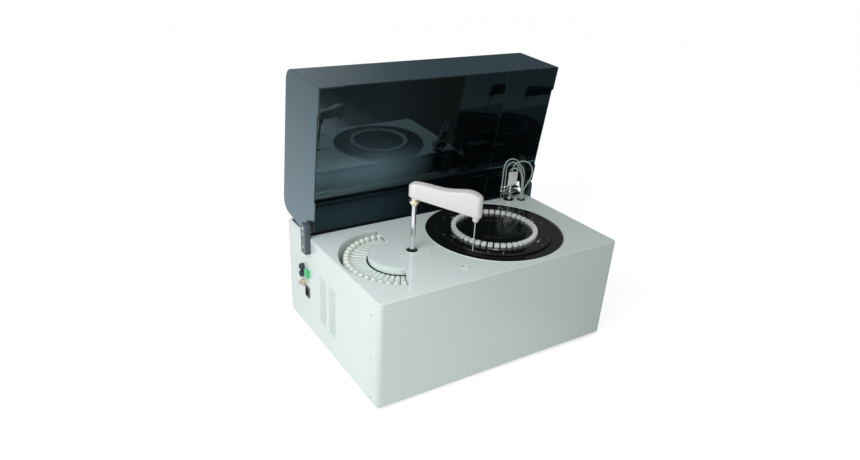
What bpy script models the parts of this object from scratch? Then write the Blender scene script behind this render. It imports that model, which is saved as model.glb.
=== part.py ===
"""Benchtop chemistry analyzer with an open, smoked lid.

Metres, +Z up, +Y to the back. The origin is the centre of the base pan's
underside; the rubber feet reach below it.
"""
import math

import bmesh
import bpy
from mathutils import Vector

# Clearances and shared thicknesses
GAP = 0.0003
OVERRUN = 0.004
MERGE = 0.00001
SKIN_T = 0.003

# Housing
HOUSING_W = 0.700
HOUSING_D = 0.500
HOUSING_H = 0.274
CORNER_R = 0.012
FRONT_WRAP = 0.048
PAN_T = 0.003
PAN_RIM_H = 0.014
FOOT_R = 0.017
FOOT_H = 0.010
FOOT_TAPER = 0.003
FOOT_INSET = 0.045

# Deck
DECK_T = 0.003
DECK_CHAMFER = 0.002
LIP_T = 0.003
LIP_H = 0.0012
LIP_END_DEG = 1.5
REAR_POCKET_W = 0.128
REAR_RIM_W = 0.006
REAR_DECK_DROP = 0.012
REAR_DECK_T = 0.003
SCREW_R = 0.0055
SCREW_H = 0.0013
SCREW_EDGE = 0.007
SCREW_FROM_FRONT = 0.097

# Reaction unit
REACTION_FROM_RIGHT = 0.248
REACTION_FROM_FRONT = 0.198
REACTION_R = 0.1803
BEZEL_T = 0.003
BEZEL_STEP_R = 0.161
BEZEL_DISH = 0.0013
BOWL_R = 0.135
BOWL_DEPTH = 0.046
BOWL_HOLE_R = 0.012
DISK_R = 0.152
DISK_T = 0.003
DISK_RISE = 0.0035
CUVETTE_COUNT = 42
STRIP_COUNT = 6
CUVETTE_R = 0.107
COLLAR_W = 0.0122
COLLAR_H = 0.008
CUVETTE_W = 0.009
CUVETTE_DEPTH = 0.034
CUVETTE_BORE = 0.0038
STRIP_W = 0.018
STRIP_T = 0.0027
HUB_R = 0.094
HUB_T = 0.0062
HUB_SHAFT_R = 0.008
MOTOR_R = 0.045
MOTOR_H = 0.066
MOTOR_NECK_R = 0.022
MOTOR_FLANGE_R = 0.040
MOTOR_FLANGE_T = 0.015
MOTOR_BORE_Z = 0.050

# Reagent carousel
REAGENT_FROM_LEFT = 0.160
REAGENT_FROM_FRONT = 0.187
SECTOR_R = 0.150
SECTOR_INNER_R = 0.078
SECTOR_START_DEG = 85.0
SECTOR_END_DEG = 247.0
TUB_UNDER_DECK = 0.0015
TUB_WALL = 0.003
TUB_DEPTH = 0.124
TUB_FLOOR_W = 0.0565
ROTOR_CLEAR = 0.0065
ROTOR_LEDGE = 0.0035
ROTOR_FLOOR_T = 0.006
ROTOR_WALL = 0.003
ROTOR_WALL_H = 0.030
BOTTLE_COUNT = 45
BOTTLE_CLEAR = 0.0005
BOTTLE_L = 0.051
BOTTLE_SHOULDER_DROP = 0.028
BOTTLE_TOP_DROP = 0.016
BOTTLE_GROOVE = 0.0016
BOTTLE_CAP_R = 0.0081
BOTTLE_CAP_DROP = 0.004
BOTTLE_CAP_INSET = 0.0085
PINION_R = 0.010
PINION_T = 0.018
PINION_SHAFT_R = 0.003
PINION_ANGLE_DEG = 180.0
REAGENT_MOTOR_W = 0.042

# Probe
PROBE_FROM_REAGENT_X = 0.038
PROBE_FROM_REAGENT_Y = 0.008
PROBE_ANGLE_DEG = -41.5
PROBE_REACH = 0.147
PROBE_HOLE_R = 0.015
PROBE_SHAFT_R = 0.006
PROBE_SHAFT_DROP = 0.149
PROBE_SHAFT_RISE = 0.1355
COLLAR_FOOT_R = 0.0085
COLLAR_FOOT_RISE = 0.117
COLLAR_FLANGE_R = 0.013
COLLAR_FLANGE_RISE = 0.123
COLLAR_FLANGE_TOP_RISE = 0.131
COLLAR_NECK_R = 0.009
COLLAR_NECK_RISE = 0.1358
ARM_TAIL = 0.0145
ARM_TAIL_HALF_W = 0.0135
ARM_NOSE = 0.0175
ARM_NOSE_HALF_W = 0.0165
ARM_FILLET = 0.004
ARM_BASE_RISE = 0.1385
ARM_BASE_DROP = 0.031
ARM_BACK_H = 0.0395
ARM_CREST_DIP = 0.0095
ARM_NOSE_RISE = 0.0030
ARM_NOSE_FALL = 0.0150
NOZZLE_R = 0.008
NOZZLE_TIP_R = 0.0058
NOZZLE_RISE = 0.092
NEEDLE_R = 0.0012
NEEDLE_RISE = 0.014
COLUMN_W = 0.050
COLUMN_D = 0.040
COLUMN_UNDER_SHAFT = 0.0357
RAIL_W = 0.020
RAIL_T = 0.008
RAIL_OFFSET = 0.016
GUIDE_R = 0.0145
GUIDE_DROP = 0.019
GUIDE_T = 0.009
CARRIAGE_W = 0.026
CARRIAGE_T = 0.020
CARRIAGE_DROP = 0.141

# Wash station
WASH_FROM_RIGHT = 0.073
WASH_BEFORE_POCKET = 0.014
WASH_HOLE_R = 0.0158
WASH_HOLE_FRONT = 0.003
WASH_SHAFT_R = 0.0052
WASH_SHAFT_DROP = 0.144
WASH_GUIDE_BASE_H = 0.060
WASH_GUIDE_TUBE_R = 0.011
WASH_CUP_DEPTH = 0.012
HOLDER_W = 0.056
HOLDER_D = 0.026
HOLDER_PLATE_T = 0.0024
HOLDER_LOW_RISE = 0.023
HOLDER_HIGH_RISE = 0.0355
WASH_NUT_COUNT = 5
WASH_NUT_PITCH = 0.0108
WASH_NUT_R = 0.0044
WASH_NUT_OVER = 0.003
WASH_NEEDLE_R = 0.0011
WASH_NEEDLE_RISE = 0.006
WASH_ROW_BACK = 0.0065
WASH_SHAFT_FRONT = 0.0055
SLEEVE_COUNT = 4
SLEEVE_R = 0.0042
SLEEVE_PITCH = 0.0080
SLEEVE_RISE = 0.0495
SLEEVE_L = 0.0335
SLEEVE_SHIFT = 0.0060
SLEEVE_BASE_T = 0.004
TUBE_R = 0.0017
GLAND_FROM_WASH_X = 0.031
GLAND_BEFORE_WASH = 0.023
GLAND_HOLE_R = 0.0095
GLAND_BORE_R = 0.0062
GLAND_RISE = 0.0022
GLAND_DEPTH = 0.010
GLAND_FLANGE = 0.002
TUBE_RING_R = 0.0038
TUBE_END_DROP = 0.038

# Wash well of the probe
WELL_FROM_REAGENT = 0.101
WELL_FROM_FRONT = 0.061
WELL_R = 0.0085
WELL_WALL = 0.0018
WELL_DEPTH = 0.020
WELL_RISE = 0.0018

# Lid, measured closed: forward of the hinge and above the rim
HINGE_FROM_BACK = 0.1305
HINGE_RISE = 0.027
LID_OPEN_DEG = 82.5
LID_SIDE_INSET = 0.004
LID_T = 0.0035
LID_FRONT_INSET = 0.0045
LID_FRONT_DRAFT = 0.009
LID_FRONT_H = 0.150
LID_DEPTH = 0.1965
LID_CROWN = 0.009
LID_FRONT_R = 0.036
LID_REAR = 0.032
LID_REAR_R = 0.034
LID_RIM_DROP = 0.0265
LID_REAR_LOW = 0.040
NOTCH_FRONT = 0.0286
NOTCH_FRONT_H = 0.007
NOTCH_BACK = 0.013
NOTCH_BACK_H = 0.073
NOTCH_REAR_H = 0.079
RIM_STEP = 0.005
RIM_FRONT_STEP = 0.003
RIM_CORNER = 0.062
RIM_REAR = 0.078

# Hinges
BRACKET_T = 0.0147
BRACKET_D = 0.028
BRACKET_LOW = 0.069
HINGE_DISC_R = 0.0175
HINGE_DISC_T = 0.0033
PIN_R = 0.004
LEAF_T = 0.004
LEAF_R = 0.0145
LEAF_REACH = 0.085
LEAF_LIFT = 0.030
LEAF_END_W = 0.022

# Side openings and connectors, measured from the housing's centre and base
VENT_COUNT = 2
VENT_FROM_FRONT = 0.214
VENT_PITCH_Y = 0.054
VENT_W = 0.037
VENT_LOW_Z = 0.063
VENT_H = 0.132
SLOT_ROWS = 11
SLOT_H = 0.0050
PANEL_FROM_BACK = 0.091
PANEL_Z = 0.132
PANEL_W = 0.090
PANEL_H = 0.110
PANEL_RECESS = 0.0008
PANEL_T = 0.004
INLET_BEFORE_PANEL = 0.0245
INLET_BELOW_PANEL = 0.0225
INLET_W = 0.0245
INLET_H = 0.031
INLET_FLANGE_T = 0.0022
INLET_WALL = 0.002
INLET_DEPTH = 0.021
INLET_BODY_INSET = 0.0015
INLET_PIN_T = 0.002
INLET_PIN_H = 0.005
INLET_PIN_L = 0.010
INLET_PIN_PITCH = 0.0065
PORT_BEFORE_PANEL = 0.001
PORT_LOW_OVER_PANEL = 0.022
PORT_PITCH_Z = 0.0205
PORT_R = 0.009
PORT_L = 0.010
PORT_BORE_R = 0.0065
PORT_BORE_L = 0.007
GREEN_BEFORE_PANEL = 0.033
GREEN_OVER_PANEL = 0.036
GREEN_W = 0.016
GREEN_H = 0.021
GREEN_L = 0.009
GREEN_CORNER = 0.002
DRAIN_BEFORE_PANEL = 0.0055
DRAIN_BELOW_PANEL = 0.0015
DRAIN_R = 0.0092
DRAIN_L = 0.008
DRAIN_BARB_R = 0.0055
DRAIN_BARB_L = 0.007
DRAIN_BORE_R = 0.0018

# Inner units
SUPPLY_FROM_RIGHT = 0.160
SUPPLY_FROM_BACK = 0.054
SUPPLY_W = 0.150
SUPPLY_D = 0.076
SUPPLY_H = 0.060
PUMP_X = -0.020
PUMP_FROM_BACK = 0.060
PUMP_W = 0.062
PUMP_D = 0.058
PUMP_H = 0.075
PUMP_BARREL_R = 0.012
PUMP_BARREL_H = 0.070
METER_OFFSET = 0.088
METER_W = 0.070
METER_D = 0.056
METER_H = 0.042

ROUND_STEPS = 60
SECTOR_STEPS = 30
INNER_STEPS = 40
MEDIUM_STEPS = 20
SMALL_STEPS = 12
TINY_STEPS = 8
NUT_SIDES = 6

DECK_Z = HOUSING_H
DECK_LOW_Z = HOUSING_H - DECK_T
HALF_W = HOUSING_W / 2
HALF_D = HOUSING_D / 2
FLOOR_Z = PAN_T + GAP

# Places of the units in the plan, each from the edge or the unit that it is set out from
REACTION_X = HALF_W - REACTION_FROM_RIGHT
REACTION_Y = REACTION_FROM_FRONT - HALF_D
REAGENT_X = REAGENT_FROM_LEFT - HALF_W
REAGENT_Y = REAGENT_FROM_FRONT - HALF_D
PROBE_X = REAGENT_X + PROBE_FROM_REAGENT_X
PROBE_Y = REAGENT_Y + PROBE_FROM_REAGENT_Y
WELL_X = REAGENT_X + WELL_FROM_REAGENT
WELL_Y = WELL_FROM_FRONT - HALF_D
REAR_POCKET_D = HALF_D - REAR_POCKET_W
TUB_R = SECTOR_R - TUB_UNDER_DECK
TUB_FLOOR_R = TUB_R - TUB_FLOOR_W
ROTOR_R = TUB_R - ROTOR_CLEAR
BOTTLE_OUTER_R = ROTOR_R - ROTOR_WALL - BOTTLE_CLEAR
BOTTLE_INNER_R = BOTTLE_OUTER_R - BOTTLE_L
BOTTLE_CAP_RING_R = BOTTLE_OUTER_R - BOTTLE_CAP_INSET
ROTOR_INNER_R = BOTTLE_INNER_R - ROTOR_LEDGE
WASH_X = HALF_W - WASH_FROM_RIGHT
WASH_Y = REAR_POCKET_D - WASH_BEFORE_POCKET
GLAND_X = WASH_X + GLAND_FROM_WASH_X
GLAND_Y = WASH_Y - GLAND_BEFORE_WASH
SCREW_FRONT_Y = SCREW_FROM_FRONT - HALF_D
HINGE_Y = HALF_D - HINGE_FROM_BACK
LID_W = HOUSING_W - 2 * LID_SIDE_INSET
LID_REACH = HINGE_Y + HALF_D - LID_FRONT_INSET
SUPPLY_X = HALF_W - SUPPLY_FROM_RIGHT
SUPPLY_Y = HALF_D - SUPPLY_FROM_BACK
PUMP_Y = HALF_D - PUMP_FROM_BACK

# Heights, each from the deck
BOWL_FLOOR_Z = DECK_Z - BOWL_DEPTH
TUB_FLOOR_Z = DECK_Z - TUB_DEPTH
BOTTLE_SHOULDER_Z = DECK_Z - BOTTLE_SHOULDER_DROP
BOTTLE_TOP_Z = DECK_Z - BOTTLE_TOP_DROP
BOTTLE_CAP_TOP_Z = DECK_Z - BOTTLE_CAP_DROP
PROBE_SHAFT_BOTTOM_Z = DECK_Z - PROBE_SHAFT_DROP
PROBE_SHAFT_TOP_Z = DECK_Z + PROBE_SHAFT_RISE
COLUMN_BASE_H = PROBE_SHAFT_BOTTOM_Z - COLUMN_UNDER_SHAFT - FLOOR_Z
COLLAR_FOOT_Z = DECK_Z + COLLAR_FOOT_RISE
COLLAR_FLANGE_Z = DECK_Z + COLLAR_FLANGE_RISE
COLLAR_FLANGE_TOP_Z = DECK_Z + COLLAR_FLANGE_TOP_RISE
COLLAR_NECK_TOP_Z = DECK_Z + COLLAR_NECK_RISE
ARM_BASE_Z = DECK_Z + ARM_BASE_RISE
NOZZLE_BOTTOM_Z = DECK_Z + NOZZLE_RISE
NEEDLE_TIP_Z = DECK_Z + NEEDLE_RISE
GUIDE_Z = DECK_Z - GUIDE_DROP
CARRIAGE_Z = DECK_Z - CARRIAGE_DROP
WASH_SHAFT_BOTTOM_Z = DECK_Z - WASH_SHAFT_DROP
WASH_GUIDE_CUP_Z = DECK_Z - WASH_CUP_DEPTH
HOLDER_LOW_Z = DECK_Z + HOLDER_LOW_RISE
HOLDER_HIGH_Z = DECK_Z + HOLDER_HIGH_RISE
WASH_NEEDLE_TIP_Z = DECK_Z + WASH_NEEDLE_RISE
SLEEVE_BOTTOM_Z = DECK_Z + SLEEVE_RISE
SLEEVE_TOP_Z = SLEEVE_BOTTOM_Z + SLEEVE_L
HINGE_Z = DECK_Z + HINGE_RISE

# Places on the left side
VENT_FRONT_Y = VENT_FROM_FRONT - HALF_D
PANEL_Y = HALF_D - PANEL_FROM_BACK
INLET_Y = PANEL_Y - INLET_BEFORE_PANEL
INLET_Z = PANEL_Z - INLET_BELOW_PANEL
PORT_Y = PANEL_Y - PORT_BEFORE_PANEL
PORT_LOW_Z = PANEL_Z + PORT_LOW_OVER_PANEL
PORT_HIGH_Z = PORT_LOW_Z + PORT_PITCH_Z
GREEN_Y = PANEL_Y - GREEN_BEFORE_PANEL
GREEN_Z = PANEL_Z + GREEN_OVER_PANEL
DRAIN_Y = PANEL_Y - DRAIN_BEFORE_PANEL
DRAIN_Z = PANEL_Z - DRAIN_BELOW_PANEL


def material(name, colour, roughness, metallic=0.0, alpha=1.0):
    """Return a Principled material with the given colour."""
    mat = bpy.data.materials.new(name)
    mat.use_nodes = True
    shader = mat.node_tree.nodes["Principled BSDF"]
    shader.inputs["Base Color"].default_value = (*colour, 1.0)
    shader.inputs["Roughness"].default_value = roughness
    shader.inputs["Metallic"].default_value = metallic
    shader.inputs["Alpha"].default_value = alpha
    mat.diffuse_color = (*colour, alpha)
    return mat


def add(name, bm, mat, smooth=False):
    """Turn a bmesh into a named object with outward faces."""
    bmesh.ops.recalc_face_normals(bm, faces=bm.faces)
    mesh = bpy.data.meshes.new(name)
    bm.to_mesh(mesh)
    bm.free()
    obj = bpy.data.objects.new(name, mesh)
    bpy.context.scene.collection.objects.link(obj)
    if mat is not None:
        mesh.materials.append(mat)
    if smooth:
        mesh.shade_smooth()
        mesh.set_sharp_from_angle(angle=math.radians(35))
    return obj


def guide(bm, name):
    """Keep a cutting or joining shape out of sight."""
    obj = add(name, bm, None)
    obj.hide_render = True
    obj.display_type = "WIRE"
    return obj


def combine(obj, bm, name, operation="DIFFERENCE"):
    """Cut or join a shape on an object."""
    other = guide(bm, name)
    step = obj.modifiers.new(name, "BOOLEAN")
    step.operation = operation
    step.solver = "EXACT"
    step.object = other
    return other


def slab(bm, outline, low, high, axis="Z", chamfer=0.0):
    """Extrude a closed outline between two levels along an axis."""
    def place(u, v, w):
        return {"Z": (u, v, w), "X": (w, u, v), "Y": (u, w, v)}[axis]

    levels = [(outline, low)]
    if chamfer:
        levels.append((outline, high - chamfer))
        levels.append((inset(outline, chamfer), high))
    else:
        levels.append((outline, high))
    rings = [[bm.verts.new(place(u, v, w)) for u, v in points] for points, w in levels]
    count = len(outline)
    for lower, upper in zip(rings, rings[1:]):
        for i in range(count):
            j = (i + 1) % count
            bm.faces.new((lower[i], lower[j], upper[j], upper[i]))
    bm.faces.new(list(reversed(rings[0])))
    bm.faces.new(rings[-1])
    return bm


def inset(outline, distance):
    """Move each edge of a counter-clockwise outline inwards."""
    result = []
    count = len(outline)
    for i in range(count):
        before = Vector(outline[i - 1])
        here = Vector(outline[i])
        after = Vector(outline[(i + 1) % count])
        first = (here - before).normalized()
        second = (after - here).normalized()
        normal = Vector((-first.y - second.y, first.x + second.x)).normalized()
        cosine = normal.dot(Vector((-first.y, first.x)))
        result.append(tuple(here + normal * distance / cosine))
    return result


def box(bm, x0, x1, y0, y1, z0, z1):
    """Add a box between two corners."""
    return slab(bm, [(x0, y0), (x1, y0), (x1, y1), (x0, y1)], z0, z1)


def centred(bm, x, y, width, depth, z0, z1):
    """Add a box centred on a point of the plan."""
    return box(bm, x - width / 2, x + width / 2, y - depth / 2, y + depth / 2, z0, z1)


def arc(cx, cy, radius, start, end, steps):
    """Points along an arc, in degrees, both ends included."""
    span = math.radians(end - start)
    first = math.radians(start)
    return [(cx + radius * math.cos(first + span * i / steps),
             cy + radius * math.sin(first + span * i / steps)) for i in range(steps + 1)]


def circle(cx, cy, radius, steps):
    """A closed circle of points."""
    return arc(cx, cy, radius, 0.0, 360.0, steps)[:-1]


def rounded(x0, x1, y0, y1, radius, steps=4):
    """A rectangle with round corners, counter-clockwise."""
    return (arc(x1 - radius, y0 + radius, radius, -90, 0, steps)
            + arc(x1 - radius, y1 - radius, radius, 0, 90, steps)
            + arc(x0 + radius, y1 - radius, radius, 90, 180, steps)
            + arc(x0 + radius, y0 + radius, radius, 180, 270, steps))


def ring_sector(cx, cy, inner, outer, start, end, steps):
    """An annular sector's outline, counter-clockwise."""
    return arc(cx, cy, outer, start, end, steps) + list(reversed(arc(cx, cy, inner, start, end, steps)))


def turned(bm, cx, cy, profile, steps, axis="Z", level=0.0):
    """Turn a closed radius and height profile round an axis."""
    def place(radius, height, angle):
        u = radius * math.cos(angle)
        v = radius * math.sin(angle)
        if axis == "X":
            return (height, cx + u, cy + v)
        return (cx + u, cy + v, height + level)

    rows = []
    for radius, height in profile:
        if radius == 0:
            rows.append([bm.verts.new(place(0.0, height, 0.0))])
        else:
            rows.append([bm.verts.new(place(radius, height, 2 * math.pi * i / steps))
                         for i in range(steps)])
    for i, row in enumerate(rows):
        other = rows[(i + 1) % len(rows)]
        for k in range(steps):
            n = (k + 1) % steps
            if len(row) == 1 and len(other) == 1:
                continue
            if len(row) == 1:
                bm.faces.new((row[0], other[n], other[k]))
            elif len(other) == 1:
                bm.faces.new((row[k], row[n], other[0]))
            else:
                bm.faces.new((row[k], row[n], other[n], other[k]))
    return bm


def rod(bm, x, y, radius, z0, z1, steps=MEDIUM_STEPS):
    """Add a solid cylinder."""
    return slab(bm, circle(x, y, radius, steps), z0, z1)


def turn(points, degrees, cx=0.0, cy=0.0):
    """Turn points of the plan about a centre."""
    c, s = math.cos(math.radians(degrees)), math.sin(math.radians(degrees))
    return [(cx + c * u - s * v, cy + s * u + c * v) for u, v in points]


def square(cx, half):
    """A square of the plan centred on the x axis."""
    return [(cx - half, -half), (cx + half, -half), (cx + half, half), (cx - half, half)]


def new():
    """A new, empty bmesh."""
    return bmesh.new()


for old in list(bpy.data.objects):
    bpy.data.objects.remove(old, do_unlink=True)

WHITE = material("white_panel", (0.83, 0.86, 0.86), 0.28)
COOL = material("front_panel", (0.62, 0.68, 0.67), 0.30)
BLACK = material("gloss_black", (0.012, 0.013, 0.015), 0.10)
NAVY = material("rear_deck_dark", (0.016, 0.020, 0.035), 0.30)
SMOKE = material("smoked_lid", (0.10, 0.14, 0.15), 0.08, alpha=0.9)
SLATE = material("bracket_slate", (0.21, 0.30, 0.34), 0.40)
STEEL = material("polished_steel", (0.75, 0.76, 0.78), 0.15, 1.0)
BRASS = material("brass_collar", (0.72, 0.58, 0.30), 0.28, 1.0)
CREAM = material("cream_plastic", (0.86, 0.84, 0.80), 0.35)
CUP = material("cuvette_white", (0.80, 0.88, 0.90), 0.25)
BOTTLE = material("bottle_plastic", (0.66, 0.78, 0.73), 0.30)
RUBBER = material("rubber", (0.03, 0.03, 0.03), 0.8)
DARK = material("matt_black", (0.02, 0.02, 0.022), 0.5)
GREEN = material("green_plastic", (0.12, 0.75, 0.32), 0.40)
BEIGE = material("beige_plastic", (0.50, 0.44, 0.38), 0.5)
METAL = material("grey_metal", (0.5, 0.5, 0.5), 0.45, 1.0)
BOARD = material("board_green", (0.02, 0.16, 0.07), 0.5)
CLEAR = material("tube_plastic", (0.50, 0.66, 0.62), 0.25)

# Base pan: a shallow tray inside the skins
pan_x = HALF_W - SKIN_T - GAP
pan_y = HALF_D - SKIN_T - GAP
bm = slab(new(), rounded(-pan_x, pan_x, -pan_y, pan_y, CORNER_R), 0, PAN_RIM_H)
base_pan = add("base_pan", bm, METAL)
combine(base_pan, slab(new(), rounded(PAN_T - pan_x, pan_x - PAN_T, PAN_T - pan_y, pan_y - PAN_T,
                                      CORNER_R - PAN_T), PAN_T, PAN_RIM_H + OVERRUN), "pan_hollow")

# Four tapered rubber feet under the pan
for side, sx in (("left", -1), ("right", 1)):
    for end, sy in (("front", -1), ("rear", 1)):
        profile = [(0, -GAP), (FOOT_R, -GAP), (FOOT_R, -FOOT_H / 2), (FOOT_R - FOOT_TAPER, -FOOT_H),
                   (0, -FOOT_H)]
        foot = add(f"foot_{end}_{side}", turned(new(), 0, 0, profile, MEDIUM_STEPS), RUBBER, True)
        foot.location = (sx * (HALF_W - FOOT_INSET), sy * (HALF_D - FOOT_INSET), 0)

# Skins: a front that wraps on to both sides, two sides and a back
skin_top = DECK_LOW_Z - GAP
seam_y = FRONT_WRAP - HALF_D
inner_r = CORNER_R - SKIN_T
outline = ([(-HALF_W, seam_y)] + arc(-HALF_W + CORNER_R, -HALF_D + CORNER_R, CORNER_R, 180, 270, 5)
           + arc(HALF_W - CORNER_R, -HALF_D + CORNER_R, CORNER_R, 270, 360, 5) + [(HALF_W, seam_y)]
           + [(HALF_W - SKIN_T, seam_y)]
           + list(reversed(arc(HALF_W - CORNER_R, -HALF_D + CORNER_R, inner_r, 270, 360, 5)))
           + list(reversed(arc(-HALF_W + CORNER_R, -HALF_D + CORNER_R, inner_r, 180, 270, 5)))
           + [(-HALF_W + SKIN_T, seam_y)])
front_cover = add("front_cover", slab(new(), outline, 0, skin_top), COOL)

side_left = add("side_panel_left", box(new(), -HALF_W, -HALF_W + SKIN_T, seam_y + GAP, HALF_D,
                                       0, skin_top), WHITE)
slots = new()
slot_pitch = VENT_H / SLOT_ROWS
for vent in range(VENT_COUNT):
    for row in range(SLOT_ROWS):
        y = VENT_FRONT_Y + vent * VENT_PITCH_Y
        z = VENT_LOW_Z + row * slot_pitch
        box(slots, -HALF_W - OVERRUN, -HALF_W + SKIN_T + OVERRUN, y, y + VENT_W, z, z + SLOT_H)
combine(side_left, slots, "vent_slots")
combine(side_left, box(new(), -HALF_W - OVERRUN, -HALF_W + SKIN_T + OVERRUN,
                       PANEL_Y - PANEL_W / 2, PANEL_Y + PANEL_W / 2,
                       PANEL_Z - PANEL_H / 2, PANEL_Z + PANEL_H / 2), "connector_window")
add("side_panel_right", box(new(), HALF_W - SKIN_T, HALF_W, seam_y + GAP, HALF_D, 0, skin_top), WHITE)
add("rear_panel", box(new(), -HALF_W + SKIN_T + GAP, HALF_W - SKIN_T - GAP, HALF_D - SKIN_T, HALF_D,
                      0, skin_top), WHITE)

# Deck: one plate with a raised lip round each working opening
deck_outline = rounded(-HALF_W, HALF_W, -HALF_D, HALF_D, CORNER_R, 5)
deck = add("deck_panel", slab(new(), deck_outline, DECK_LOW_Z, DECK_Z, chamfer=DECK_CHAMFER), WHITE)
lip_low = DECK_Z - DECK_T / 2
lip_top = DECK_Z + LIP_H
combine(deck, slab(new(), circle(REACTION_X, REACTION_Y, REACTION_R + LIP_T, ROUND_STEPS), lip_low, lip_top),
        "reaction_lip", "UNION")
combine(deck, slab(new(), ring_sector(REAGENT_X, REAGENT_Y, SECTOR_INNER_R - LIP_T,
                                      SECTOR_INNER_R + LIP_T, SECTOR_START_DEG - LIP_END_DEG,
                                      SECTOR_END_DEG + LIP_END_DEG, SECTOR_STEPS),
                   lip_low, lip_top), "sector_lip", "UNION")
screws = new()
for x, y in ((-HALF_W + SCREW_EDGE, SCREW_FRONT_Y), (HALF_W - SCREW_EDGE, SCREW_FRONT_Y),
             (REAGENT_X, REAGENT_Y - SCREW_EDGE),
             (PROBE_X + PROBE_HOLE_R + 3 * SCREW_EDGE, PROBE_Y - PROBE_HOLE_R),
             (WASH_X, WASH_Y - WASH_HOLE_R - 3 * SCREW_EDGE),
             (WASH_X - WASH_HOLE_R - 4 * SCREW_EDGE, REAR_POCKET_D - SCREW_EDGE)):
    rod(screws, x, y, SCREW_R, DECK_Z - DECK_T / 2, DECK_Z + SCREW_H, TINY_STEPS)
combine(deck, screws, "deck_screws", "UNION")
deck_cut_low = DECK_LOW_Z - OVERRUN
deck_cut_high = DECK_Z + OVERRUN
combine(deck, slab(new(), circle(REACTION_X, REACTION_Y, REACTION_R, ROUND_STEPS), deck_cut_low,
                   deck_cut_high), "reaction_opening")
combine(deck, slab(new(), ring_sector(REAGENT_X, REAGENT_Y, SECTOR_INNER_R, SECTOR_R,
                                      SECTOR_START_DEG, SECTOR_END_DEG, SECTOR_STEPS), deck_cut_low,
                   deck_cut_high), "sector_opening")
holes = new()
hole_y = WASH_Y - WASH_HOLE_FRONT
rod(holes, PROBE_X, PROBE_Y, PROBE_HOLE_R, deck_cut_low, deck_cut_high)
rod(holes, WASH_X, hole_y, WASH_HOLE_R, deck_cut_low, deck_cut_high)
rod(holes, GLAND_X, GLAND_Y, GLAND_HOLE_R, deck_cut_low, deck_cut_high, MEDIUM_STEPS)
rod(holes, WELL_X, WELL_Y, WELL_R + WELL_WALL + GAP, deck_cut_low, deck_cut_high, MEDIUM_STEPS)
combine(deck, holes, "deck_holes")
pocket_x = HALF_W - REAR_RIM_W
pocket_back = HALF_D - REAR_RIM_W
combine(deck, box(new(), -pocket_x, pocket_x, REAR_POCKET_D, pocket_back, deck_cut_low, deck_cut_high),
        "rear_pocket")
rear_z = DECK_Z - REAR_DECK_DROP
rear_x = HALF_W - SKIN_T - GAP
rear_back = HALF_D - SKIN_T - GAP
rear_deck = add("rear_deck", box(new(), -rear_x, rear_x, REAR_POCKET_D - REAR_RIM_W, rear_back,
                                 rear_z - REAR_DECK_T, DECK_LOW_Z - GAP), NAVY)
combine(rear_deck, box(new(), -pocket_x, pocket_x, REAR_POCKET_D, pocket_back, rear_z,
                       DECK_Z + OVERRUN), "rear_deck_hollow")
combine(rear_deck, rod(new(), WASH_X, hole_y, WASH_HOLE_R + GAP, rear_z - OVERRUN, DECK_Z),
        "rear_deck_relief")

# Reaction unit: a dished bezel and bowl, and the motor that carries it
flange_low = DECK_LOW_Z + GAP
bezel_top = flange_low + BEZEL_T
bowl_in = BOWL_R - TUB_WALL
profile = [(REACTION_R - GAP, flange_low), (REACTION_R - GAP, bezel_top),
           (BEZEL_STEP_R, bezel_top - BEZEL_DISH), (bowl_in, bezel_top - BEZEL_DISH),
           (bowl_in, BOWL_FLOOR_Z + TUB_WALL),
           (BOWL_HOLE_R, BOWL_FLOOR_Z + TUB_WALL), (BOWL_HOLE_R, BOWL_FLOOR_Z), (BOWL_R, BOWL_FLOOR_Z),
           (BOWL_R, flange_low)]
bowl = add("reaction_bowl", turned(new(), 0, 0, profile, ROUND_STEPS), BLACK, True)
bowl.location = (REACTION_X, REACTION_Y, 0)
shaft_bore = HUB_SHAFT_R + GAP
motor_top = BOWL_FLOOR_Z - GAP
profile = [(0, FLOOR_Z), (MOTOR_R, FLOOR_Z), (MOTOR_R, FLOOR_Z + MOTOR_H), (MOTOR_NECK_R, FLOOR_Z + MOTOR_H),
           (MOTOR_NECK_R, motor_top - MOTOR_FLANGE_T), (MOTOR_FLANGE_R, motor_top - MOTOR_FLANGE_T),
           (MOTOR_FLANGE_R, motor_top), (shaft_bore, motor_top), (shaft_bore, MOTOR_BORE_Z),
           (0, MOTOR_BORE_Z)]
motor = add("reaction_motor", turned(new(), 0, 0, profile, SMALL_STEPS), METAL, True)
motor.location = (REACTION_X, REACTION_Y, 0)

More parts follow.
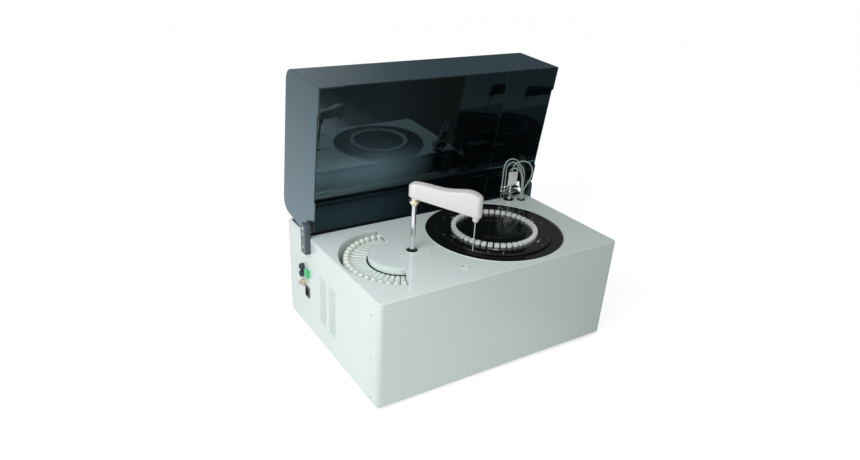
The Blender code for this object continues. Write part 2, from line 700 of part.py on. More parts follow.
# Reaction disk with its square windows, strips of cuvettes and the hub below
disk_top = DECK_Z + DISK_RISE
disk_low = disk_top - DISK_T
disk = add("reaction_disk", slab(new(), circle(0, 0, DISK_R, INNER_STEPS), disk_low, disk_top,
                                 chamfer=DISK_T / 3), BLACK)
disk.location = (REACTION_X, REACTION_Y, 0)
windows = new()
window = COLLAR_W / 2 + GAP
step_deg = 360.0 / CUVETTE_COUNT
for i in range(CUVETTE_COUNT):
    slab(windows, turn(square(CUVETTE_R, window), (i + 0.5) * step_deg), disk_low - OVERRUN,
         disk_top + OVERRUN)
cutter = combine(disk, windows, "disk_windows")
cutter.location = disk.location
strip_top = disk_low - GAP
per_strip = CUVETTE_COUNT // STRIP_COUNT
strip_deg = 360.0 / STRIP_COUNT
strip_edge_deg = math.degrees(GAP / CUVETTE_R)
for k in range(STRIP_COUNT):
    first = k * strip_deg
    strip = add(f"cuvette_strip_{k + 1}",
                slab(new(), ring_sector(0, 0, CUVETTE_R - STRIP_W / 2, CUVETTE_R + STRIP_W / 2,
                                        first + strip_edge_deg, first + strip_deg - strip_edge_deg, 7),
                     strip_top - STRIP_T, strip_top), CUP)
    strip.location = disk.location
    collars, bodies, bores = new(), new(), new()
    for i in range(per_strip):
        angle = first + (i + 0.5) * step_deg
        slab(collars, turn(square(CUVETTE_R, COLLAR_W / 2), angle), strip_top - STRIP_T / 2,
             disk_top + COLLAR_H)
        slab(bodies, turn(square(CUVETTE_R, CUVETTE_W / 2), angle), strip_top - CUVETTE_DEPTH,
             strip_top - STRIP_T / 3)
        shape = square(CUVETTE_R, CUVETTE_BORE / 2)
        slab(bores, turn(shape, angle), strip_top - CUVETTE_DEPTH + SKIN_T, disk_top + COLLAR_H + OVERRUN)
    for mesh, label, operation in ((collars, "collars", "UNION"), (bodies, "bodies", "UNION"),
                                   (bores, "bores", "DIFFERENCE")):
        part = combine(strip, mesh, f"cuvette_{label}_{k + 1}", operation)
        part.location = disk.location
hub_top = disk_low - GAP
profile = [(0, hub_top), (HUB_R, hub_top), (HUB_R, hub_top - HUB_T), (HUB_SHAFT_R, hub_top - HUB_T),
           (HUB_SHAFT_R, MOTOR_BORE_Z + GAP), (0, MOTOR_BORE_Z + GAP)]
hub = add("reaction_hub", turned(new(), 0, 0, profile, MEDIUM_STEPS), METAL, True)
hub.location = disk.location

# Reagent carousel: tub hung by its rim under the deck, turning tray, drive wheel and motor
tub_out = TUB_R + TUB_WALL
tub_top = DECK_LOW_Z - GAP
profile = [(tub_out, TUB_FLOOR_Z), (tub_out, tub_top), (TUB_R, tub_top), (TUB_R, TUB_FLOOR_Z + TUB_WALL),
           (TUB_FLOOR_R, TUB_FLOOR_Z + TUB_WALL), (TUB_FLOOR_R, TUB_FLOOR_Z)]
tub = add("reagent_tub", turned(new(), 0, 0, profile, INNER_STEPS), DARK, True)
tub.location = (REAGENT_X, REAGENT_Y, 0)
tray_z = TUB_FLOOR_Z + TUB_WALL + GAP
tray_floor = tray_z + ROTOR_FLOOR_T
tray_wall_z = tray_z + ROTOR_WALL_H
profile = [(ROTOR_R, tray_z), (ROTOR_R, tray_wall_z), (ROTOR_R - ROTOR_WALL, tray_wall_z),
           (ROTOR_R - ROTOR_WALL, tray_floor), (ROTOR_INNER_R, tray_floor), (ROTOR_INNER_R, tray_z)]
rotor = add("reagent_tray", turned(new(), 0, 0, profile, INNER_STEPS), METAL, True)
rotor.location = tub.location
profile = [(BOTTLE_OUTER_R, tray_floor + GAP), (BOTTLE_OUTER_R, BOTTLE_SHOULDER_Z),
           (BOTTLE_INNER_R, BOTTLE_SHOULDER_Z), (BOTTLE_INNER_R, tray_floor + GAP)]
bottles = add("reagent_bottles", turned(new(), 0, 0, profile, BOTTLE_COUNT), BOTTLE)
bottles.location = tub.location
shoulders, caps = new(), new()
for i in range(BOTTLE_COUNT):
    angle = (i + 0.5) * 360.0 / BOTTLE_COUNT
    wide = BOTTLE_OUTER_R * math.tan(math.pi / BOTTLE_COUNT) - BOTTLE_GROOVE / 2
    thin = BOTTLE_INNER_R * math.tan(math.pi / BOTTLE_COUNT) - BOTTLE_GROOVE / 2
    outer = BOTTLE_OUTER_R - BOTTLE_GROOVE
    inner = BOTTLE_INNER_R + BOTTLE_GROOVE
    shape = [(inner, -thin), (outer, -wide), (outer, wide), (inner, thin)]
    slab(shoulders, turn(shape, angle), BOTTLE_SHOULDER_Z - BOTTLE_GROOVE, BOTTLE_TOP_Z)
    shape = circle(BOTTLE_CAP_RING_R, 0, BOTTLE_CAP_R, NUT_SIDES)
    slab(caps, turn(shape, angle), BOTTLE_TOP_Z - BOTTLE_GROOVE, BOTTLE_CAP_TOP_Z)
combine(bottles, shoulders, "bottle_shoulders", "UNION").location = tub.location
combine(bottles, caps, "bottle_caps", "UNION").location = tub.location
wheel_ring = ROTOR_INNER_R - PINION_R - GAP
wheel_x = REAGENT_X + wheel_ring * math.cos(math.radians(PINION_ANGLE_DEG))
wheel_y = REAGENT_Y + wheel_ring * math.sin(math.radians(PINION_ANGLE_DEG))
reagent_motor_top = TUB_FLOOR_Z - GAP
profile = [(0, tray_z + PINION_T), (PINION_R, tray_z + PINION_T), (PINION_R, tray_z),
           (PINION_SHAFT_R, tray_z), (PINION_SHAFT_R, reagent_motor_top - PINION_T),
           (0, reagent_motor_top - PINION_T)]
wheel = add("reagent_drive_wheel", turned(new(), 0, 0, profile, SMALL_STEPS), RUBBER, True)
wheel.location = (wheel_x, wheel_y, 0)
reagent_motor = add("reagent_motor", centred(new(), wheel_x, wheel_y, REAGENT_MOTOR_W, REAGENT_MOTOR_W,
                                             FLOOR_Z, reagent_motor_top), METAL)
combine(reagent_motor, rod(new(), wheel_x, wheel_y, PINION_SHAFT_R + GAP,
                           reagent_motor_top - PINION_T - GAP, reagent_motor_top + OVERRUN,
                           SMALL_STEPS), "reagent_motor_bore")

# Probe: guide column, lifting carriage, shaft, collar, arm, nozzle and needle
column = add("probe_column", centred(new(), PROBE_X, PROBE_Y, COLUMN_W, COLUMN_D, FLOOR_Z,
                                     FLOOR_Z + COLUMN_BASE_H), METAL)
rail_low = PROBE_Y + RAIL_OFFSET
combine(column, box(new(), PROBE_X - RAIL_W / 2, PROBE_X + RAIL_W / 2, rail_low, rail_low + RAIL_T,
                    FLOOR_Z + COLUMN_BASE_H / 2, GUIDE_Z + GUIDE_T), "probe_rail", "UNION")
shape = (arc(PROBE_X, PROBE_Y, GUIDE_R, 180, 360, 12)
         + [(PROBE_X + GUIDE_R, rail_low + RAIL_T / 2), (PROBE_X - GUIDE_R, rail_low + RAIL_T / 2)])
combine(column, slab(new(), shape, GUIDE_Z, GUIDE_Z + GUIDE_T / 2), "probe_guide", "UNION")
combine(column, rod(new(), PROBE_X, PROBE_Y, PROBE_SHAFT_R + GAP, GUIDE_Z - OVERRUN,
                    GUIDE_Z + GUIDE_T + OVERRUN), "probe_guide_bore")
carriage = add("probe_carriage", box(new(), -CARRIAGE_W / 2, CARRIAGE_W / 2, -CARRIAGE_W / 2,
                                     RAIL_OFFSET - GAP, CARRIAGE_Z, CARRIAGE_Z + CARRIAGE_T), METAL)
carriage.location = (PROBE_X, PROBE_Y, 0)
bore = combine(carriage, rod(new(), 0, 0, PROBE_SHAFT_R + GAP, CARRIAGE_Z - OVERRUN,
                             CARRIAGE_Z + CARRIAGE_T + OVERRUN), "carriage_bore")
bore.location = carriage.location
shaft = add("probe_shaft", rod(new(), 0, 0, PROBE_SHAFT_R, PROBE_SHAFT_BOTTOM_Z, PROBE_SHAFT_TOP_Z), STEEL,
            True)
shaft.location = carriage.location
collar_bore = PROBE_SHAFT_R + GAP
profile = [(collar_bore, COLLAR_FOOT_Z), (COLLAR_FOOT_R, COLLAR_FOOT_Z), (COLLAR_FOOT_R, COLLAR_FLANGE_Z),
           (COLLAR_FLANGE_R, COLLAR_FLANGE_Z), (COLLAR_FLANGE_R, COLLAR_FLANGE_TOP_Z),
           (COLLAR_NECK_R, COLLAR_FLANGE_TOP_Z), (COLLAR_NECK_R, COLLAR_NECK_TOP_Z),
           (collar_bore, COLLAR_NECK_TOP_Z)]
collar = add("probe_collar", turned(new(), 0, 0, profile, MEDIUM_STEPS), BRASS, True)
collar.location = carriage.location

arm_start = -ARM_TAIL
arm_end = PROBE_REACH + ARM_NOSE
arm_length = arm_end - arm_start


def arm_half_width(s):
    """Half width of the arm at a distance along it, round at both ends."""
    share = (s - arm_start) / arm_length
    width = ARM_TAIL_HALF_W + (ARM_NOSE_HALF_W - ARM_TAIL_HALF_W) * share
    if s < 0:
        return width * math.sqrt(max(0.0, 1 - (s / ARM_TAIL) ** 2))
    if s > PROBE_REACH:
        return width * math.sqrt(max(0.0, 1 - ((s - PROBE_REACH) / ARM_NOSE) ** 2))
    return width


def arm_bottom(s):
    """Height of the arm's sloping underside."""
    return ARM_BASE_Z - ARM_BASE_DROP * s / PROBE_REACH


def arm_top(s):
    """Height of the arm's waved top: crest, hollow, second crest, falling nose."""
    share = min(1.0, max(0.0, s / PROBE_REACH))
    height = ARM_BASE_Z + ARM_BACK_H
    hollow = math.sin(math.pi * min(1.0, share / 0.56) / 2) ** 2
    second = math.sin(math.pi * max(0.0, (share - 0.56) / 0.44) / 2) ** 2
    height += -ARM_CREST_DIP * hollow + ARM_NOSE_RISE * second
    if s < 0:
        height -= (ARM_BACK_H / 5) * (s / ARM_TAIL) ** 2
    if share > 0.8:
        height -= ARM_NOSE_FALL * ((s - 0.8 * PROBE_REACH) / (arm_end - 0.8 * PROBE_REACH)) ** 2
    return height


stations = ([-ARM_TAIL * math.cos(math.pi / 2 * i / 6) for i in range(6)]
            + [PROBE_REACH * i / 16 for i in range(17)]
            + [PROBE_REACH + ARM_NOSE * math.sin(math.pi / 2 * i / 6) for i in range(1, 7)])
bm = new()
rows = []
for s in stations:
    w = arm_half_width(s)
    inner_w = max(0.0, w - ARM_FILLET)
    middle_w = max(0.0, w - ARM_FILLET * 0.3)
    low, high = arm_bottom(s), arm_top(s)
    section = [(-w, low), (-w, high - ARM_FILLET), (-middle_w, high - ARM_FILLET * 0.3), (-inner_w, high),
               (inner_w, high), (middle_w, high - ARM_FILLET * 0.3), (w, high - ARM_FILLET), (w, low)]
    rows.append([bm.verts.new((s, v, z)) for v, z in section])
for a, b in zip(rows, rows[1:]):
    for i in range(len(a)):
        j = (i + 1) % len(a)
        bm.faces.new((a[i], a[j], b[j], b[i]))
bm.faces.new(rows[0])
bm.faces.new(list(reversed(rows[-1])))
bmesh.ops.remove_doubles(bm, verts=bm.verts, dist=MERGE)
bmesh.ops.dissolve_degenerate(bm, edges=bm.edges, dist=MERGE)
bmesh.ops.triangulate(bm, faces=bm.faces)
arm = add("probe_arm", bm, CREAM, True)
arm.location = carriage.location
arm.rotation_euler = (0, 0, math.radians(PROBE_ANGLE_DEG))
nozzle_seat = arm_bottom(PROBE_REACH + NOZZLE_R) - GAP
profile = [(NEEDLE_R + GAP, nozzle_seat), (NOZZLE_R, nozzle_seat), (NOZZLE_R, NOZZLE_BOTTOM_Z + NOZZLE_R / 2),
           (NOZZLE_TIP_R, NOZZLE_BOTTOM_Z), (NEEDLE_R + GAP, NOZZLE_BOTTOM_Z)]
nozzle = add("probe_nozzle", turned(new(), PROBE_REACH, 0, profile, MEDIUM_STEPS), CREAM, True)
nozzle.location = carriage.location
nozzle.rotation_euler = arm.rotation_euler
profile = [(0, nozzle_seat), (NEEDLE_R, nozzle_seat), (NEEDLE_R, NEEDLE_TIP_Z + 3 * NEEDLE_R),
           (NEEDLE_R / 3, NEEDLE_TIP_Z), (0, NEEDLE_TIP_Z)]
needle = add("probe_needle", turned(new(), PROBE_REACH, 0, profile, TINY_STEPS), STEEL, True)
needle.location = carriage.location
needle.rotation_euler = arm.rotation_euler

# Wash station: guide, lift shaft, holder with nozzles, sleeves and tubes
shaft_y = WASH_Y - WASH_SHAFT_FRONT
row_y = WASH_Y + WASH_ROW_BACK
wash_bore = WASH_SHAFT_R + GAP
cup_r = WASH_HOLE_R - GAP
profile = [(0, FLOOR_Z), (COLUMN_D / 2, FLOOR_Z), (COLUMN_D / 2, FLOOR_Z + WASH_GUIDE_BASE_H),
           (WASH_GUIDE_TUBE_R, FLOOR_Z + WASH_GUIDE_BASE_H), (WASH_GUIDE_TUBE_R, WASH_GUIDE_CUP_Z),
           (0, WASH_GUIDE_CUP_Z)]
wash_guide = add("wash_guide", turned(new(), WASH_X, shaft_y, profile, SMALL_STEPS), DARK)
cup = [(0, WASH_GUIDE_CUP_Z - SKIN_T), (cup_r, WASH_GUIDE_CUP_Z - SKIN_T), (cup_r, DECK_Z),
       (cup_r - SKIN_T / 2, DECK_Z), (cup_r - SKIN_T / 2, WASH_GUIDE_CUP_Z - GAP),
       (0, WASH_GUIDE_CUP_Z - GAP)]
combine(wash_guide, turned(new(), WASH_X, hole_y, cup, MEDIUM_STEPS), "wash_cup", "UNION")
combine(wash_guide, rod(new(), WASH_X, shaft_y, wash_bore, FLOOR_Z + WASH_GUIDE_BASE_H,
                        DECK_Z + OVERRUN, SMALL_STEPS), "wash_guide_bore")
sleeve_base_z = SLEEVE_BOTTOM_Z - SLEEVE_BASE_T
wash_shaft = add("wash_shaft", rod(new(), 0, 0, WASH_SHAFT_R, WASH_SHAFT_BOTTOM_Z, sleeve_base_z - GAP,
                                   SMALL_STEPS), STEEL, True)
wash_shaft.location = (WASH_X, shaft_y, 0)
first_plate = new()
centred(first_plate, WASH_X, WASH_Y, HOLDER_W, HOLDER_D, HOLDER_LOW_Z, HOLDER_LOW_Z + HOLDER_PLATE_T)
wash_holder = add("wash_holder", first_plate, STEEL)
others = new()
centred(others, WASH_X, WASH_Y, HOLDER_W, HOLDER_D, HOLDER_HIGH_Z, HOLDER_HIGH_Z + HOLDER_PLATE_T)
combine(wash_holder, others, "holder_top", "UNION")
posts = new()
for side in (-1, 1):
    x = WASH_X + side * (HOLDER_W / 2 - HOLDER_PLATE_T)
    centred(posts, x, WASH_Y - HOLDER_D / 4, HOLDER_PLATE_T, HOLDER_PLATE_T,
            HOLDER_LOW_Z + HOLDER_PLATE_T / 2, HOLDER_HIGH_Z + HOLDER_PLATE_T / 2)
combine(wash_holder, posts, "holder_posts", "UNION")
nuts = new()
needles = new()
for i in range(WASH_NUT_COUNT):
    x = WASH_X + (i - (WASH_NUT_COUNT - 1) / 2) * WASH_NUT_PITCH
    rod(nuts, x, row_y, WASH_NUT_R, HOLDER_LOW_Z + HOLDER_PLATE_T / 3,
        HOLDER_HIGH_Z + HOLDER_PLATE_T + WASH_NUT_OVER, NUT_SIDES)
    rod(needles, x, row_y, WASH_NEEDLE_R, WASH_NEEDLE_TIP_Z, HOLDER_LOW_Z + HOLDER_PLATE_T, NUT_SIDES)
combine(wash_holder, nuts, "holder_nuts", "UNION")
combine(wash_holder, needles, "holder_needles", "UNION")
combine(wash_holder, rod(new(), WASH_X, shaft_y, WASH_SHAFT_R + GAP, HOLDER_LOW_Z - OVERRUN,
                         HOLDER_HIGH_Z + OVERRUN, SMALL_STEPS), "holder_bore")
sleeve_mid = WASH_X + SLEEVE_SHIFT
sleeve_half = (SLEEVE_COUNT - 1) / 2 * SLEEVE_PITCH + SLEEVE_R
sleeves = add("wash_sleeves", box(new(), sleeve_mid - sleeve_half, sleeve_mid + sleeve_half,
                                  shaft_y - SLEEVE_R, shaft_y + SLEEVE_R, sleeve_base_z,
                                  SLEEVE_BOTTOM_Z), CREAM)
barrels = new()
for i in range(SLEEVE_COUNT):
    x = sleeve_mid + (i - (SLEEVE_COUNT - 1) / 2) * SLEEVE_PITCH
    z = SLEEVE_BOTTOM_Z - SLEEVE_BASE_T / 2
    if i % 2 == 0:
        rod(barrels, x, shaft_y, SLEEVE_R, z, SLEEVE_TOP_Z, TINY_STEPS)
combine(sleeves, barrels, "sleeves_even", "UNION")
barrels = new()
for i in range(SLEEVE_COUNT):
    x = sleeve_mid + (i - (SLEEVE_COUNT - 1) / 2) * SLEEVE_PITCH
    z = SLEEVE_BOTTOM_Z - SLEEVE_BASE_T / 2
    if i % 2 == 1:
        rod(barrels, x, shaft_y, SLEEVE_R, z, SLEEVE_TOP_Z, TINY_STEPS)
combine(sleeves, barrels, "sleeves_odd", "UNION")

profile = [(GLAND_BORE_R, DECK_Z - GLAND_DEPTH), (GLAND_HOLE_R - GAP, DECK_Z - GLAND_DEPTH),
           (GLAND_HOLE_R - GAP, DECK_Z + GAP), (GLAND_HOLE_R + GLAND_FLANGE, DECK_Z + GAP),
           (GLAND_HOLE_R + GLAND_FLANGE, DECK_Z + GLAND_RISE), (GLAND_BORE_R, DECK_Z + GLAND_RISE)]
add("tube_gland", turned(new(), GLAND_X, GLAND_Y, profile, MEDIUM_STEPS), DARK, True)


def smooth_route(points, pieces):
    """Points on a centripetal curve through a route."""
    route = [Vector(p) for p in points]
    route = [2 * route[0] - route[1]] + route + [2 * route[-1] - route[-2]]
    result = []
    for k in range(1, len(route) - 2):
        a, b, c, d = route[k - 1:k + 3]
        t0 = 0.0
        t1 = t0 + (b - a).length ** 0.5
        t2 = t1 + (c - b).length ** 0.5
        t3 = t2 + (d - c).length ** 0.5
        for i in range(pieces):
            t = t1 + (t2 - t1) * i / pieces
            a1 = (t1 - t) / (t1 - t0) * a + (t - t0) / (t1 - t0) * b
            a2 = (t2 - t) / (t2 - t1) * b + (t - t1) / (t2 - t1) * c
            a3 = (t3 - t) / (t3 - t2) * c + (t - t2) / (t3 - t2) * d
            b1 = (t2 - t) / (t2 - t0) * a1 + (t - t0) / (t2 - t0) * a2
            b2 = (t3 - t) / (t3 - t1) * a2 + (t - t1) / (t3 - t1) * a3
            result.append((t2 - t) / (t2 - t1) * b1 + (t - t1) / (t2 - t1) * b2)
    result.append(route[-2])
    return result


def tube(name, points, radius, pieces=3):
    """A hose swept along a smooth route."""
    data = bpy.data.curves.new(name, "CURVE")
    data.dimensions = "3D"
    data.bevel_depth = radius
    data.bevel_resolution = 2
    data.use_fill_caps = True
    spline = data.splines.new("POLY")
    route = smooth_route(points, pieces)
    spline.points.add(len(route) - 1)
    for item, place in zip(spline.points, route):
        item.co = (*place, 1.0)
    data.materials.append(CLEAR)
    obj = bpy.data.objects.new(name, data)
    bpy.context.scene.collection.objects.link(obj)
    return obj


nut_top = HOLDER_HIGH_Z + HOLDER_PLATE_T + WASH_NUT_OVER + GAP
sleeve_end = SLEEVE_TOP_Z + GAP


def nut_x(i):
    """Middle of a nozzle in the row."""
    return WASH_X + (i - (WASH_NUT_COUNT - 1) / 2) * WASH_NUT_PITCH


def sleeve_x(i):
    """Middle of a sleeve in the row."""
    return sleeve_mid + (i - (SLEEVE_COUNT - 1) / 2) * SLEEVE_PITCH


def gland_point(i, rise):
    """Centre of a tube in the bundle that enters the deck."""
    angle = math.radians(100 + 72 * i)
    return (GLAND_X + TUBE_RING_R * math.cos(angle), GLAND_Y + TUBE_RING_R * math.sin(angle), DECK_Z + rise)


def by_station(right, back, rise):
    """A point of a tube's route, from the wash station's centre and the deck."""
    return (WASH_X + right, WASH_Y + back, DECK_Z + rise)


# Routes of the five tubes, each from its fitting, over the top and into the gland
row, front = WASH_ROW_BACK, -WASH_SHAFT_FRONT
low, end = -0.009, -TUBE_END_DROP
nut_0, nut_1 = nut_x(0) - WASH_X, nut_x(1) - WASH_X
sleeve_0, sleeve_1, sleeve_3 = (sleeve_x(i) - WASH_X for i in (0, 1, 3))
tube("wash_tube_1", [(nut_x(0), row_y, nut_top), by_station(nut_0, row, 0.071),
                     by_station(nut_0 + 0.001, row, 0.096), by_station(-0.015, 0.005, 0.113),
                     by_station(-0.002, 0.002, 0.121), by_station(0.015, -0.0025, 0.117),
                     by_station(0.027, -0.0085, 0.101), gland_point(0, 0.064), gland_point(0, 0.026),
                     gland_point(0, low), gland_point(0, end)], TUBE_R)
tube("wash_tube_2", [(nut_x(1), row_y, nut_top), by_station(nut_1, row, 0.071),
                     by_station(nut_1, row, 0.094), by_station(-0.006, 0.002, 0.108),
                     by_station(0.005, -0.004, 0.112), by_station(0.016, -0.011, 0.103),
                     by_station(0.023, -0.0175, 0.084), gland_point(1, 0.054), gland_point(1, 0.026),
                     gland_point(1, low), gland_point(1, end)], TUBE_R)
tube("wash_tube_3", [(sleeve_x(0), shaft_y, sleeve_end), by_station(sleeve_0, front, 0.089),
                     by_station(-0.004, -0.009, 0.0945), by_station(0.0035, -0.014, 0.0975),
                     by_station(0.014, -0.02, 0.092), by_station(0.023, -0.025, 0.075),
                     gland_point(2, 0.046), gland_point(2, 0.026), gland_point(2, low),
                     gland_point(2, end)], TUBE_R)
tube("wash_tube_4", [(sleeve_x(3), shaft_y, sleeve_end), by_station(sleeve_3, front, 0.089),
                     by_station(0.02, -0.0035, 0.097), by_station(0.0255, -0.0017, 0.1015),
                     by_station(0.0325, -0.0035, 0.1), by_station(0.0382, -0.0085, 0.091),
                     by_station(0.0395, -0.0145, 0.075), gland_point(4, 0.05), gland_point(4, 0.026),
                     gland_point(4, low), gland_point(4, end)], TUBE_R)
tube("wash_tube_5", [(sleeve_x(1), shaft_y, sleeve_end), by_station(sleeve_1, front, 0.092),
                     by_station(0.0045, -0.0095, 0.1065), by_station(0.013, -0.0155, 0.1155),
                     by_station(0.026, -0.024, 0.1185), by_station(0.039, -0.0325, 0.112),
                     by_station(0.0465, -0.038, 0.095), by_station(0.0445, -0.0365, 0.068),
                     gland_point(3, 0.028), gland_point(3, low), gland_point(3, end)], TUBE_R)

# Wash well of the probe, a small cup set in the deck
well_out = WELL_R + WELL_WALL
profile = [(0, DECK_Z - WELL_DEPTH), (well_out, DECK_Z - WELL_DEPTH), (well_out, DECK_Z + WELL_RISE),
           (WELL_R, DECK_Z + WELL_RISE), (WELL_R, DECK_Z - WELL_DEPTH + WELL_WALL),
           (0, DECK_Z - WELL_DEPTH + WELL_WALL)]
add("probe_wash_well", turned(new(), WELL_X, WELL_Y, profile, MEDIUM_STEPS), WHITE, True)

# Lid: drawn closed in hinge measures, then turned to its open rest pose


def lid_point(forward, height):
    """A closed-lid point as (y, z) after opening the lid."""
    y = -forward
    z = height - LID_RIM_DROP
    angle = math.radians(-LID_OPEN_DEG)
    return (HINGE_Y + math.cos(angle) * y - math.sin(angle) * z,
            HINGE_Z + math.sin(angle) * y + math.cos(angle) * z)


def corner(before, at, after, radius, steps):
    """Round one corner of an outline with an arc."""
    p, q, r = Vector(before), Vector(at), Vector(after)
    u, v = (p - q).normalized(), (r - q).normalized()
    half = u.angle(v) / 2
    reach = radius / math.tan(half)
    centre = q + (u + v).normalized() * radius / math.sin(half)
    start, end = q + u * reach, q + v * reach
    a0 = math.atan2(start.y - centre.y, start.x - centre.x)
    a1 = math.atan2(end.y - centre.y, end.x - centre.x)
    sweep = (a1 - a0 + math.pi) % (2 * math.pi) - math.pi
    return [(centre.x + radius * math.cos(a0 + sweep * i / steps),
             centre.y + radius * math.sin(a0 + sweep * i / steps)) for i in range(steps + 1)]


def lid_outline(wall, low_front, low_rear):
    """Side outline of the lid, drawn in by the wall thickness."""
    front = (LID_REACH - wall, low_front)
    slope = LID_FRONT_DRAFT / LID_FRONT_H
    crown_share = LID_CROWN / (LID_REACH + LID_REAR)
    top_front = (LID_REACH - wall - slope * LID_DEPTH, LID_DEPTH - LID_CROWN - wall)
    top_rear = (-LID_REAR + wall, LID_DEPTH - wall + crown_share * LID_REAR)
    rear = (-LID_REAR + wall, low_rear)
    points = [front]
    points += corner(front, top_front, top_rear, LID_FRONT_R - wall, 8)
    points += corner(top_front, top_rear, rear, LID_REAR_R - wall, 8)
    points += [rear]
    return [lid_point(*p) for p in points]


half_lid = LID_W / 2
lid = add("lid_shell", slab(new(), lid_outline(0.0, 0.0, LID_REAR_LOW), -half_lid, half_lid, "X"), SMOKE)
combine(lid, slab(new(), lid_outline(LID_T, -OVERRUN * 4, -OVERRUN * 4), -half_lid + LID_T, half_lid - LID_T,
                  "X"), "lid_hollow")
clear_x = half_lid - LID_T - LEAF_T / 2
for side in (-1, 1):
    name = "left" if side < 0 else "right"
    shape = [lid_point(NOTCH_FRONT, -OVERRUN), lid_point(NOTCH_FRONT, NOTCH_FRONT_H),
             lid_point(-NOTCH_BACK, NOTCH_BACK_H), lid_point(-LID_REAR - OVERRUN, NOTCH_REAR_H),
             lid_point(-LID_REAR - OVERRUN, -OVERRUN)]
    x0, x1 = sorted((side * clear_x, side * (half_lid + OVERRUN)))
    combine(lid, slab(new(), shape, x0, x1, "X"), f"lid_notch_{name}")
    shape = [lid_point(RIM_REAR, -OVERRUN), lid_point(RIM_REAR, RIM_STEP),
             lid_point(LID_REACH - RIM_CORNER, RIM_STEP), lid_point(LID_REACH - RIM_CORNER, -OVERRUN)]
    x0, x1 = sorted((side * (half_lid - 2 * LID_T), side * (half_lid + OVERRUN)))
    combine(lid, slab(new(), shape, x0, x1, "X"), f"lid_rim_step_{name}")
shape = [lid_point(LID_REACH - 2 * LID_T, -OVERRUN), lid_point(LID_REACH - 2 * LID_T, RIM_FRONT_STEP),
         lid_point(LID_REACH + OVERRUN, RIM_FRONT_STEP), lid_point(LID_REACH + OVERRUN, -OVERRUN)]
combine(lid, slab(new(), shape, -half_lid + RIM_CORNER, half_lid - RIM_CORNER, "X"), "lid_front_step")

# Hinges: bracket on each side, friction disc, and a leaf with its pin on the lid
for side in (-1, 1):
    name = "left" if side < 0 else "right"

    def across(near, far, sign=side):
        """A span of x on this side, nearest value first."""
        return sorted((sign * near, sign * far))

    x0, x1 = across(HALF_W + GAP, HALF_W + GAP + BRACKET_T)
    half = BRACKET_D / 2
    low = HINGE_Z - BRACKET_LOW
    shape = [(HINGE_Y - half, low), (HINGE_Y + half, low)] + arc(HINGE_Y, HINGE_Z, half, 0, 180, 10)
    bracket = add(f"hinge_bracket_{name}", slab(new(), shape, x0, x1, "X"), SLATE)
    hole = slab(new(), circle(HINGE_Y, HINGE_Z, PIN_R + GAP, SMALL_STEPS),
                x0 - OVERRUN, x1 + OVERRUN, "X")
    combine(bracket, hole, f"bracket_bore_{name}")
    disc_near = half_lid + GAP
    x0, x1 = across(disc_near, HALF_W)
    profile = [(PIN_R + GAP, x0), (HINGE_DISC_R, x0), (HINGE_DISC_R, x1), (PIN_R + GAP, x1)]
    add(f"hinge_disc_{name}", turned(new(), HINGE_Y, HINGE_Z, profile, MEDIUM_STEPS, "X"), DARK, True)
    leaf_out = half_lid - LID_T - GAP
    x0, x1 = across(leaf_out - LEAF_T, leaf_out)
    end_low = LID_RIM_DROP + LEAF_LIFT - LEAF_END_W / 2
    end_high = LID_RIM_DROP + LEAF_LIFT + LEAF_END_W / 2
    shape = ([lid_point(LEAF_REACH, end_low), lid_point(LEAF_REACH, end_high)]
             + [lid_point(LEAF_R * math.cos(math.radians(a)),
                          LID_RIM_DROP + LEAF_R * math.sin(math.radians(a))) for a in range(110, 291, 15)])
    leaf = add(f"hinge_leaf_{name}", slab(new(), shape, x0, x1, "X"), DARK)
    x0, x1 = across(leaf_out - LEAF_T / 2, HALF_W + GAP + BRACKET_T)
    combine(leaf, slab(new(), circle(HINGE_Y, HINGE_Z, PIN_R, SMALL_STEPS), x0, x1, "X"), f"hinge_pin_{name}",
            "UNION")

# Connector plate in its window on the left, and what is mounted on it
plate_face = -HALF_W + PANEL_RECESS
plate_back = plate_face + PANEL_T
edge = GAP
plate = add("connector_panel", box(new(), plate_face, -HALF_W + SKIN_T + GAP + PANEL_T / 2,
                                   PANEL_Y - PANEL_W / 2 + edge, PANEL_Y + PANEL_W / 2 - edge,
                                   PANEL_Z - PANEL_H / 2 + edge, PANEL_Z + PANEL_H / 2 - edge), WHITE)
plate_inner = -HALF_W + SKIN_T + GAP + PANEL_T / 2
body_w = INLET_W - 2 * INLET_BODY_INSET
body_h = INLET_H - 2 * INLET_BODY_INSET
combine(plate, box(new(), plate_face - OVERRUN, plate_inner + OVERRUN,
                   INLET_Y - body_w / 2 - GAP, INLET_Y + body_w / 2 + GAP,
                   INLET_Z - body_h / 2 - GAP, INLET_Z + body_h / 2 + GAP), "inlet_window")
seat = plate_face - GAP
shape = rounded(INLET_Y - INLET_W / 2, INLET_Y + INLET_W / 2, INLET_Z - INLET_H / 2, INLET_Z + INLET_H / 2,
                INLET_WALL, 2)
inlet = add("power_inlet", slab(new(), shape, seat - INLET_FLANGE_T, seat, "X"), DARK)
body_back = seat + INLET_DEPTH
combine(inlet, box(new(), seat - INLET_FLANGE_T / 2, body_back, INLET_Y - body_w / 2, INLET_Y + body_w / 2,
                   INLET_Z - body_h / 2, INLET_Z + body_h / 2), "inlet_body", "UNION")
combine(inlet, box(new(), seat - INLET_FLANGE_T - OVERRUN, body_back - INLET_WALL,
                   INLET_Y - body_w / 2 + INLET_WALL, INLET_Y + body_w / 2 - INLET_WALL,
                   INLET_Z - body_h / 2 + INLET_WALL, INLET_Z + body_h / 2 - INLET_WALL), "inlet_cavity")
pins = new()
